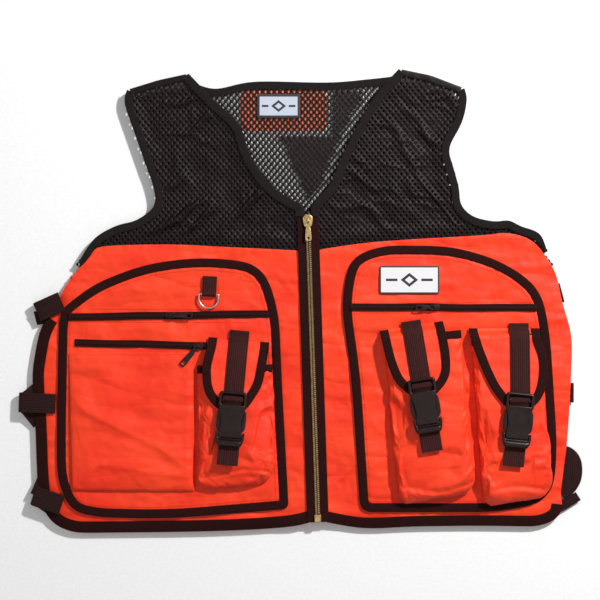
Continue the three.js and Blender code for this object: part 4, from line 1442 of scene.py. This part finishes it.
class Pouch:
    """One pouch. The bag's frame has its origin at the middle of the mouth, on the panel, and -Y runs down
    it; the flap and strap follow the line of the strap, which leans differently."""

    def __init__(self, name):
        self.name = name
        axis = joint(f"{name}_buckle_release")
        self.slope = math.asin(-axis[2])  # the bag's front rises towards its belly
        self.up = upright(f"{name}_strap")
        self.strap, _ = local_frame(f"{name}_strap", self.up, (0, 1, -1))
        self.frame, local = local_frame(name, upright(name), (0, 1, -1))
        self.half = float(local[:, 0].max())
        self.length = float(-local[:, 1].min())
        self.depth = float(local[:, 2].max())
        self.seed = 70 + 10 * POUCHES.index(name)
        self.flap_loop = top_outline(f"{name}_flap")[0]
        self.socket, _ = local_frame(f"{name}_buckle_socket", axis, (0, 1, -1))

    def front(self, v):
        """How deep the bag is at v down from its mouth."""
        return self.depth - (self.length - BELLY - v) * math.tan(self.slope)

    def profile(self):
        """Rows of [down, depth] along the middle of the bag, from the mouth round the bottom to the seam."""
        length, belly = self.length, self.length - BELLY
        points = [(0.0, self.front(0)), (belly * 0.5, self.front(belly * 0.5)), (belly, self.depth - 0.4),
                  (length - 20, self.depth - 1.8), (length - 9, self.depth - 6.5),
                  (length - 3.0, self.depth - 12.5), (length - 0.8, 6.0), (length - 1.4, 0.9)]
        path = softened(evenly(np.array(points), 2.0), 6)
        return evenly(path, (length + self.depth) / BAG_ROWS)

    def shell(self):
        rows = self.profile()
        length = self.length
        points = np.zeros((len(rows), BAG_COLUMNS + 1, 3))
        for r, (v, depth) in enumerate(rows):
            widths = []
            for radius in (15.0, 27.0):
                past = max(0.0, v - (length - radius))
                widths.append(self.half - 1.2 - (radius - math.sqrt(max(radius ** 2 - past ** 2, 0))) * 0.95)
            power = 5.2 - 2.2 * min(1, (v / length) ** 2)
            for c in range(BAG_COLUMNS + 1):
                t = math.pi * c / BAG_COLUMNS
                cx, cz = math.cos(t), math.sin(t)
                x = math.copysign(abs(cx) ** (2 / power), cx)
                z = max(cz, 0) ** (2 / (power + 1.2))
                width = widths[0] if cx > 0 else widths[1]
                belly_out = 0.035 * math.sin(math.pi * min(z, 1)) * self.half * min(1, v / 40)
                u = -(x * width + math.copysign(belly_out, x) * abs(x))
                lean_in = 1 - 0.05 * z * (v / length) ** 2
                sag = 3.5 * (u / self.half) * (v / length) ** 4
                points[r, c] = (u * lean_in, -v + sag, max(depth * z, 0.0))
        return points

    def make_bag(self):
        grid = self.shell()
        flat = grid.reshape(-1, 3)
        x, y, z = flat.T
        edge = np.abs(x) / self.half
        low = np.clip((-y - self.length * 0.62) / (self.length * 0.3), 0, 1)
        crease = creases(x, y, 40, self.seed + 1, 0.9) - 0.25
        wave = 1.1 * noise(x, y, 48, self.seed) + 2.0 * crease * (0.3 + low)
        wave += 2.2 * (creases(x, y, 20, self.seed + 4, 0.4, 2.0) - 0.3) * low
        wave += 1.4 * noise(x + 0.6 * z, y * 0.6, 17, self.seed + 2) * low * edge
        gather = 0.8 * noise(x, z * 2, 8, self.seed + 3) * np.clip((-y - self.length + 26) / 20, 0, 1)
        # Above its bottom seam the cloth folds over itself in one long crease.
        fold = -y - self.length + 17 + 5 * np.sin(x / 19 + self.seed)
        gather -= 3.4 * np.exp(-(fold / 2.6) ** 2) * np.clip(1.15 - edge, 0, 1)
        gather += 1.6 * np.exp(-((fold - 6) / 4.5) ** 2)
        lift = np.clip(z / 8, 0, 1)
        middle = np.clip(1 - edge ** 2, 0, 1)
        aside = 0.5 * wave * (1 - middle) * np.sign(x)
        flat = flat + np.column_stack([aside, 0 * x, (wave + gather) * 0.55]) * lift[:, None]
        self.inflate(flat.reshape(grid.shape))

    def inflate(self, grid):
        """Fills the bag: its cloth billows under a little pressure, held along its seams."""
        rows, columns = grid.shape[:2]
        faces = [[r * columns + c, (r + 1) * columns + c, (r + 1) * columns + c + 1, r * columns + c + 1]
                 for r in range(rows - 1) for c in range(columns - 1)]
        made = mesh_object(f"{self.name}_bag", grid.reshape(-1, 3), faces, nylon, at=self.frame,
                           stands_for=self.name, smooth_angle=0)
        before = np.array([v.co for v in made.data.vertices])
        after = self.simulated(made, grid)
        moved = after - before
        size = np.linalg.norm(moved, axis=1, keepdims=True)
        moved *= np.minimum(1, CAP * MM / np.maximum(size, 1e-9))
        local = (before + moved) / MM @ self.frame.basis.T - self.frame.origin @ self.frame.basis.T
        # Below the webbing nothing lies on the bag.
        clear = np.clip((-local[:, 1] - self.length * 0.78) / 14, 0, 1)
        ceiling = self.front(np.minimum(-local[:, 1], self.length - BELLY)) - 0.35 + 2.2 * clear
        local[:, 2] = np.clip(local[:, 2], 0.0, ceiling)
        made.data.vertices.foreach_set("co", (self.frame.out(local) * MM).astype(np.float32).ravel())
        made.data.update()
        wall = made.modifiers.new("wall", "SOLIDIFY")
        wall.thickness = 0.7 * MM
        wall.offset = -1
        smooth = made.modifiers.new("smooth", "SUBSURF")
        smooth.levels = smooth.render_levels = 1
        self.piece, self.grid = made, local.reshape(grid.shape)

    def simulated(self, made, grid):
        """Where the bag's vertices settle."""
        pins = made.vertex_groups.new(name="sewn")
        held = [i for i, p in enumerate(grid.reshape(-1, 3)) if p[2] < 1.5 or i < 2 * grid.shape[1]]
        pins.add(held, 1.0, "REPLACE")
        cloth = made.modifiers.new("Cloth", "CLOTH")
        for key, value in CLOTH.items():
            setattr(cloth.settings, key, value)
        cloth.settings.effector_weights.gravity = 0
        cloth.collision_settings.use_self_collision = False
        cloth.collision_settings.use_collision = False
        for step in range(1, 21):
            bpy.context.scene.frame_set(step)
        settled = made.evaluated_get(bpy.context.evaluated_depsgraph_get())
        after = np.array([v.co for v in settled.data.vertices])
        made.modifiers.remove(cloth)
        made.vertex_groups.clear()
        bpy.context.scene.frame_set(1)
        return after

    def make_mouth(self):
        """The bound rim: a band over the bag's mouth edge, seen beyond the flap."""
        outline = []
        for v, lift in ((9.4, 0.25), (6.2, 0.75), (3.0, 0.8), (0.1, 0.75), (-0.5, 0.0)):
            row = self.grid[0].copy()
            row[:, 1] = -v
            rise, swell = (np.clip(row[:, 2] / full, 0, 1) for full in (6, 3))
            row[:, 2] += v * math.tan(self.slope) * rise + lift * swell
            row[:, 0] *= 1 + 0.012 * lift
            outline.append(row)
        outline.append(outline[-1] - [0, 0, 1.2])
        columns = len(outline[0])
        points = np.vstack(outline)
        faces = [[(r + 1) * columns + c, r * columns + c, r * columns + c + 1, (r + 1) * columns + c + 1]
                 for r in range(len(outline) - 1) for c in range(columns - 1)]
        mesh_object(f"{self.name}_mouth_tape", points, faces, tape, at=self.frame,
                    uv=[(points[i][0] * MM, points[i][1] * MM) for f in faces for i in f])

    def cover(self, x, y):
        """The top of the flap, smoothed over its folds."""
        weights = {-7: 1, -3.5: 2, 0: 3, 3.5: 2, 7: 1}
        total = sum(w * self.flap_height(x + self.up[0] * d, y + self.up[1] * d) for d, w in weights.items())
        return total / 9

    def make_flap(self):
        self.flap_height = height_over(f"{self.name}_flap")
        loop = softened(evenly(self.flap_loop, 3, True), 1, True)
        top = corner_of(loop, self.up[:2])
        offset = (loop - loop[top]) @ self.up[:2]
        centre, sideways = self.strap.origin, self.strap.basis[0]
        sewn = corners(f"{self.name}_flap")[0][2] + 1.1
        across = (loop - centre[:2]) @ sideways[:2]

        def height(x, y):
            base = self.cover(x, y)
            side = (x - centre[0]) * sideways[0] + (y - centre[1]) * sideways[1]
            away = np.clip((np.abs(side) - 14) / 22, 0, 1)
            below = -((x - loop[top][0]) * self.up[0] + (y - loop[top][1]) * self.up[1])
            rise = np.clip((below - 1.0) / 8, 0, 1)
            base = sewn + (base - sewn) * rise * rise * (3 - 2 * rise)
            wave = 0.8 * (creases(x, y, 22, self.seed + 5, 1.3) - 0.3) * away
            wave = np.clip(wave + 0.3 * noise(x, y, 25, self.seed + 6) * away, -0.4, 0.7)
            return base - 0.1 + wave * np.clip(below / 30, 0, 1)

        self.flap_top = height
        flap = f"{self.name}_flap"
        made = slab(f"{flap}_cloth", [loop], height, 0.9, nylon, step=2.4, stands_for=flap)
        cut_cloth(loop, spare=1.2)
        # The binding runs down one side, under the buckle and up the other; the sewn top edge has none.
        limit = offset.max()
        sides = [i for i in range(len(loop)) if limit - 12 < offset[i] < limit - 4]
        left = min(sides, key=lambda i: across[i])
        right = max(sides, key=lambda i: across[i])
        bottom = int(np.argmin(offset))
        run = run_between(loop, left, right, by=bottom)
        if across[left] > across[right]:
            run = run[::-1]
        up = self.up[:2]
        ends = [run[0] + up * (limit - offset[left]), run[-1] + up * (limit - offset[right])]
        run = np.vstack([ends[:1], run, ends[1:]])
        edge_tape(f"{self.name}_flap_tape", run, 10.2, height, 0.35, tape, thick=0.95, wrap=1.1, gather=0.12,
                  step=2.5)
        seam = [loop[left] + (loop[right] - loop[left]) * t - self.up[:2] * 1.5 for t in (0.27, 0.5, 0.73)]
        stitches(f"{self.name}_flap_seam", seam, lambda x, y: height(x, y) + 0.05, orange_thread)

    def make_strap(self):
        """The webbing from its sewn fold down over the flap and into the socket, round its bar."""
        base, local = local_frame(f"{self.name}_strap", self.up, (0, 1, -1))
        top_height = height_over(f"{self.name}_strap")
        run = -local[:, 1].min()
        path = []
        for y in np.arange(-3.0, -run + 3, -2.5):
            x0, y0, _ = base.out([0, y, 0])
            z = top_height(np.array([x0]), np.array([y0]))[0]
            path.append((0, y, z - base.origin[2] - 0.75))
        path = np.array(path)
        weights = [0.12, 0.23, 0.3, 0.23, 0.12]
        path[:, 2] = np.convolve(np.pad(path[:, 2], 2, mode="edge"), weights, mode="valid")
        on_flap = path[:, 1] < -8.5
        spots = base.out(path[on_flap])
        rest_on = self.flap_top(spots[:, 0], spots[:, 1]) + 0.75 - base.origin[2]
        path[on_flap, 2] = np.maximum(path[on_flap, 2], rest_on)
        path[~on_flap, 2] = path[~on_flap, 2].clip(max=2.4)
        first = path[0]
        fold = [(0, first[1] - 6.5, first[2] - 1.15), (0, -1.8, first[2] - 1.2), (0, -0.5, first[2] - 0.9),
                (0, -0.2, first[2] - 0.3), (0, -1.0, first[2] + 0.02)]
        inner = self.socket
        bar = [(0, -2.2, 0.75), (0, -5.5, 2.4), (0, -8.2, 5.0), (0, -9.6, 5.85), (0, -11.3, 4.7),
               (0, -13, 2.1), (0, -15, 0.95), (0, -17.5, 0.85)]
        world = [base.out(p) for p in fold] + [base.out(p) for p in path[1:]]
        world += [inner.out(p) for p in bar]
        world = np.array(world)
        world = softened(evenly(softened(evenly(world, 1.2), 3), 1.6), 1)
        made = swept(f"{self.name}_strap_web", world, base.basis[0], tape_section(24.6, 1.15, 12, 0.16),
                     webbing, stands_for=f"{self.name}_strap", body=None)
        start = base.out(path[1]) * MM
        end = inner.out([0, -1, 0.8]) * MM
        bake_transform(made)
        # The fold is sewn down with two rows across.
        for k, down in enumerate((4.4, 6.4)):
            cross_seam(f"{self.name}_fold_seam_{k + 1}", base, (0, -down, path[1][2] + 0.78), (10.8, 0, 0))

    def make_socket(self):
        """The frame with its bar for the strap, and the sleeve that takes the plug's arms and guide."""
        name = self.name
        part = partial(slab, material=plastic, at=self.socket, body=f"{name}_socket")
        half = 17.4
        outline, window = four_sided(half, -19, 0.0, [1, 1, 4.2, 4.2]), four_sided(13.5, -16.4, -3.3, 1.6)
        part(f"{name}_socket_frame", [outline, window], crowned(7.5, 0.15, half, 12, cy=-11), 7.4, radius=1.7,
             rings=4, step=1.6, stands_for=f"{name}_buckle_socket")
        part(f"{name}_socket_bar", [four_sided(14.2, -11.2, -7.9, 0.4)], flat(4.9), 3.9, radius=1.3, rings=4,
             step=1.5)
        sleeve = rounded(mirrored([(16.2, -16.4), (15.6, -24), (13.2, -33), (12.4, -40), (13.4, -47),
                                   (14.2, -52), (13.9, -56.8)])[::-1], 2.6)

        def crown(x, y):
            u = np.clip(np.abs(x) / 16, 0, 1)
            lip = 0.5 * np.exp(-((y + 17.5) / 1.6) ** 2)
            scoop = -0.5 * np.exp(-((y + 49) / 7) ** 2) * (1 - u * u)
            return 7.55 + 0.5 * (1 - u ** 2.4) + scoop + lip * (1 - u * u)

        part(f"{name}_socket_plate", [sleeve], crown, 2.0, radius=0.85, rings=4, step=1.5)
        part(f"{name}_socket_back", [sleeve], flat(1.75), 1.1, radius=0.5, rings=3, step=2.2)
        part(f"{name}_socket_wall", [four_sided(15.6, -20, -17.4, 0.8, 16.2)], flat(6.6), 5.2, radius=0.6,
             step=2.2)
        for side, sign in SIDES.items():
            rail = rounded([(sign * 5.2, -56), (sign * 7.0, -56), (sign * 7.0, -46), (sign * 5.2, -46)], 0.4)
            part(f"{name}_socket_rail_{side}", [rail], flat(6.4), 5.0, radius=0.3, step=2)

    def make_plug(self):
        """The plug with its guide and two arms, and the webbing that ties it to the bag."""
        name, at = self.name, self.socket
        part = partial(slab, material=plastic, at=at)
        outline = rounded([(-18, -49.8), (-17.6, -59), (-15.8, -64.5), (-14, -67.8), (14, -67.8),
                           (15.8, -64.5), (17.6, -59), (18, -49.8), (14.6, -50.6), (14.0, -57.6),
                           (-14.0, -57.6), (-14.6, -50.6)],
                          [1.4, 4, 3, 2.4, 2.4, 3, 4, 1.4, 1.4, 1.2, 1.2, 1.4])

        def roll(x, y):
            groove = 0.9 * np.exp(-((y + 60.2) / 0.7) ** 2) * (np.abs(x) < 14.5)
            barrel = 0.9 * np.clip(1 - ((y + 64.2) / 3.4) ** 2, 0, 1) * np.clip((14.5 - np.abs(x)) / 2, 0, 1)
            return crowned(6.5, 0.4, 18, 12, cy=-58)(x, y) - groove + barrel * 0.7

        part(f"{name}_plug_base", [outline], roll, 6.0, radius=1.5, rings=4, step=1.0,
             stands_for=f"{name}_buckle_plug")
        part(f"{name}_plug_guide", [four_sided(2.9, -58.5, -30, 0.9, 2.4)], flat(5.2), 2.8, radius=0.6,
             step=2.4)
        for side, sign in SIDES.items():
            arm = [(8.6, -58.4), (11.6, -58.4), (13.2, -51), (16.6, -47.5), (18.0, -44), (18.4, -34),
                   (17.9, -26), (16.4, -21.8), (13.6, -22), (12.2, -40), (9.8, -49)]
            arm = rounded([(sign * x, y) for x, y in arm], 1.4)
            part(f"{name}_plug_arm_{side}", [arm], flat(5.2), 2.9, radius=0.8, rings=3, step=1.6)
        # The webbing is sewn to the bag and folded round the bar of the plug.
        path = [(0, -91, -1.0), (0, -80, -1.0), (0, -73, -0.9), (0, -70, -0.2), (0, -68.6, 0.9),
                (0, -67.0, 1.3), (0, -65.4, 0.6), (0, -63, -0.3)]
        path = softened(evenly(np.array(path, float), 1.2), 2)
        swept(f"{name}_lower_web", path, (1, 0, 0), tape_section(26, 1.15, 10, 0.42), webbing, at=at,
              stands_for=f"{name}_webbing")
        cross_seam(f"{name}_lower_seam", at, (0, -89.4, -0.2), (12, 0, 0))
        cross_seam(f"{name}_loop_seam", at, (0, -71.0, -0.05), (11.5, 0, 0))

    def make(self):
        self.make_bag()
        self.make_mouth()
        self.make_flap()
        self.make_strap()
        self.make_socket()
        self.make_plug()


# ------------------------------------------------------------------ side straps
# Where a strap's lower legs show beside the upper one: the way they run in degrees from +X, and how far.
SECOND_LEGS = {
    "left_side_strap_top": [(-78, 17)], "left_side_strap_middle": [(40, 26), (-52, 31)],
    "left_side_strap_bottom": [(68, 27), (-36, 24)],
}


def make_side_strap(side, place):
    """A webbing loop sewn to the front, round the free edge and back under it."""
    node = f"{side}_side_strap_{place}"
    points, _ = cad_mesh(node)
    sign = SIDES[side]
    low, high = points.min(axis=0), points.max(axis=0)
    plan = top_outline(node)[0]
    centre = plan.mean(axis=0)
    leans = np.radians(np.arange(-42, 42.1, 0.5))
    boxes = [np.ptp(plan @ [math.cos(a), math.sin(a)]) * np.ptp(plan @ [-math.sin(a), math.cos(a)])
             for a in leans]
    lean = leans[int(np.argmin(boxes))]
    out = np.array([math.cos(lean), math.sin(lean)]) * sign
    across = np.array([-out[1], out[0], 0]) * sign
    near = (plan - centre) @ out
    cross = (plan - centre) @ across[:2]
    far, start, width = near.max(), near.min(), cross.max() - cross.min()
    if side == "left":
        start += 3.5  # sewn down just short of the pocket's tape
    centre = centre + across[:2] * (cross.max() + cross.min()) / 2
    here = Frame([*centre, 0], [*out, 0], np.cross([0, 0, 1], [*out, 0]), [0, 0, 1])
    top, base = high[2] - 0.7, low[2] + 0.7
    if side == "right":
        top = base + 1.7  # pressed flat between the fronts and the back
    middle, tall = (top + base) / 2, (top - base) / 2
    path = [(start, 0, top), (start + 8, 0, top + 0.3), (far - 9, 0, top - 0.2)]
    for k in range(1, 12):
        t = math.pi / 2 - math.pi * k / 12
        path.append((far - 6.5 + 5.7 * math.cos(t), 0, middle + tall * math.sin(t)))
    path += [(far - 9, 0, base), (start + 6, 0, base)]
    path = softened(evenly(np.array(path, float), 1.5), 3)
    swept(f"{node}_web", path[::-1], (0, 1, 0), tape_section(width - 0.3, 1.25, 10, 0.3), dark_webbing,
          at=here, stands_for=node)
    for k in (2.4, 8.5):
        cross_seam(f"{node}_seam_{int(k)}", here, (start + k, 0, top + 0.95), (0, width / 2 - 2, 0))
    for k, (turn, reach) in enumerate(SECOND_LEGS.get(node, [])):
        turn = math.radians(turn)
        leg = np.array([math.cos(turn), math.sin(turn), 0])
        root = here.out([far - 9, 0, 0]) * [1, 1, 0]
        levels = np.linspace(middle + 1.5 - 1.6 * k, base + 1.4, 12)
        path = np.array([root + leg * reach * n / 11 + [0, 0, z] for n, z in enumerate(levels)])
        swept(f"{node}_under_{k + 1}", path, np.cross(leg, [0, 0, 1]), tape_section(24.6, 1.25, 9, 0.35),
              dark_webbing)


def make_flat_loop(node):
    """The last strap on the right lies flat: it turns outside the front and comes back, its end under it."""
    low, high = corners(node)
    start = np.array([high[0] - 12.9, high[1] - 12.5])
    turn = [(-27, 0), (-13, 0), (-4.5, -3), (0, -12), (0, -27), (-4.5, -37), (-17, -48)]
    turn = evenly(softened(evenly(np.array(turn) + start, 3), 3), 2)
    end = evenly(np.array([(-21, -69), (-7, -61), (7, -52)]) + start, 3)
    for word, line, level, section, replaced in (("web", turn, 0.9, tape_section(24.6, 1.3, 9, 0.35), node),
                                                 ("end", end, 1.4, tape_section(12, 2.4, 4, 0.3), None)):
        path = np.column_stack([line, np.full(len(line), low[2] + level)])
        across = np.column_stack([-left_of(line), np.zeros(len(line))])
        swept(f"{node}_{word}", path, across, section, dark_webbing, stands_for=replaced)


def make_side_straps():
    for side in SIDES:
        for place in ("top", "middle", "bottom"):
            if (side, place) == ("right", "bottom"):
                make_flat_loop("right_side_strap_bottom")
            else:
                make_side_strap(side, place)


make_zippers()
make_ring()
make_badge()
make_cargo()
seam_rows()
for pouch_name in POUCHES:
    Pouch(pouch_name).make()
make_side_straps()
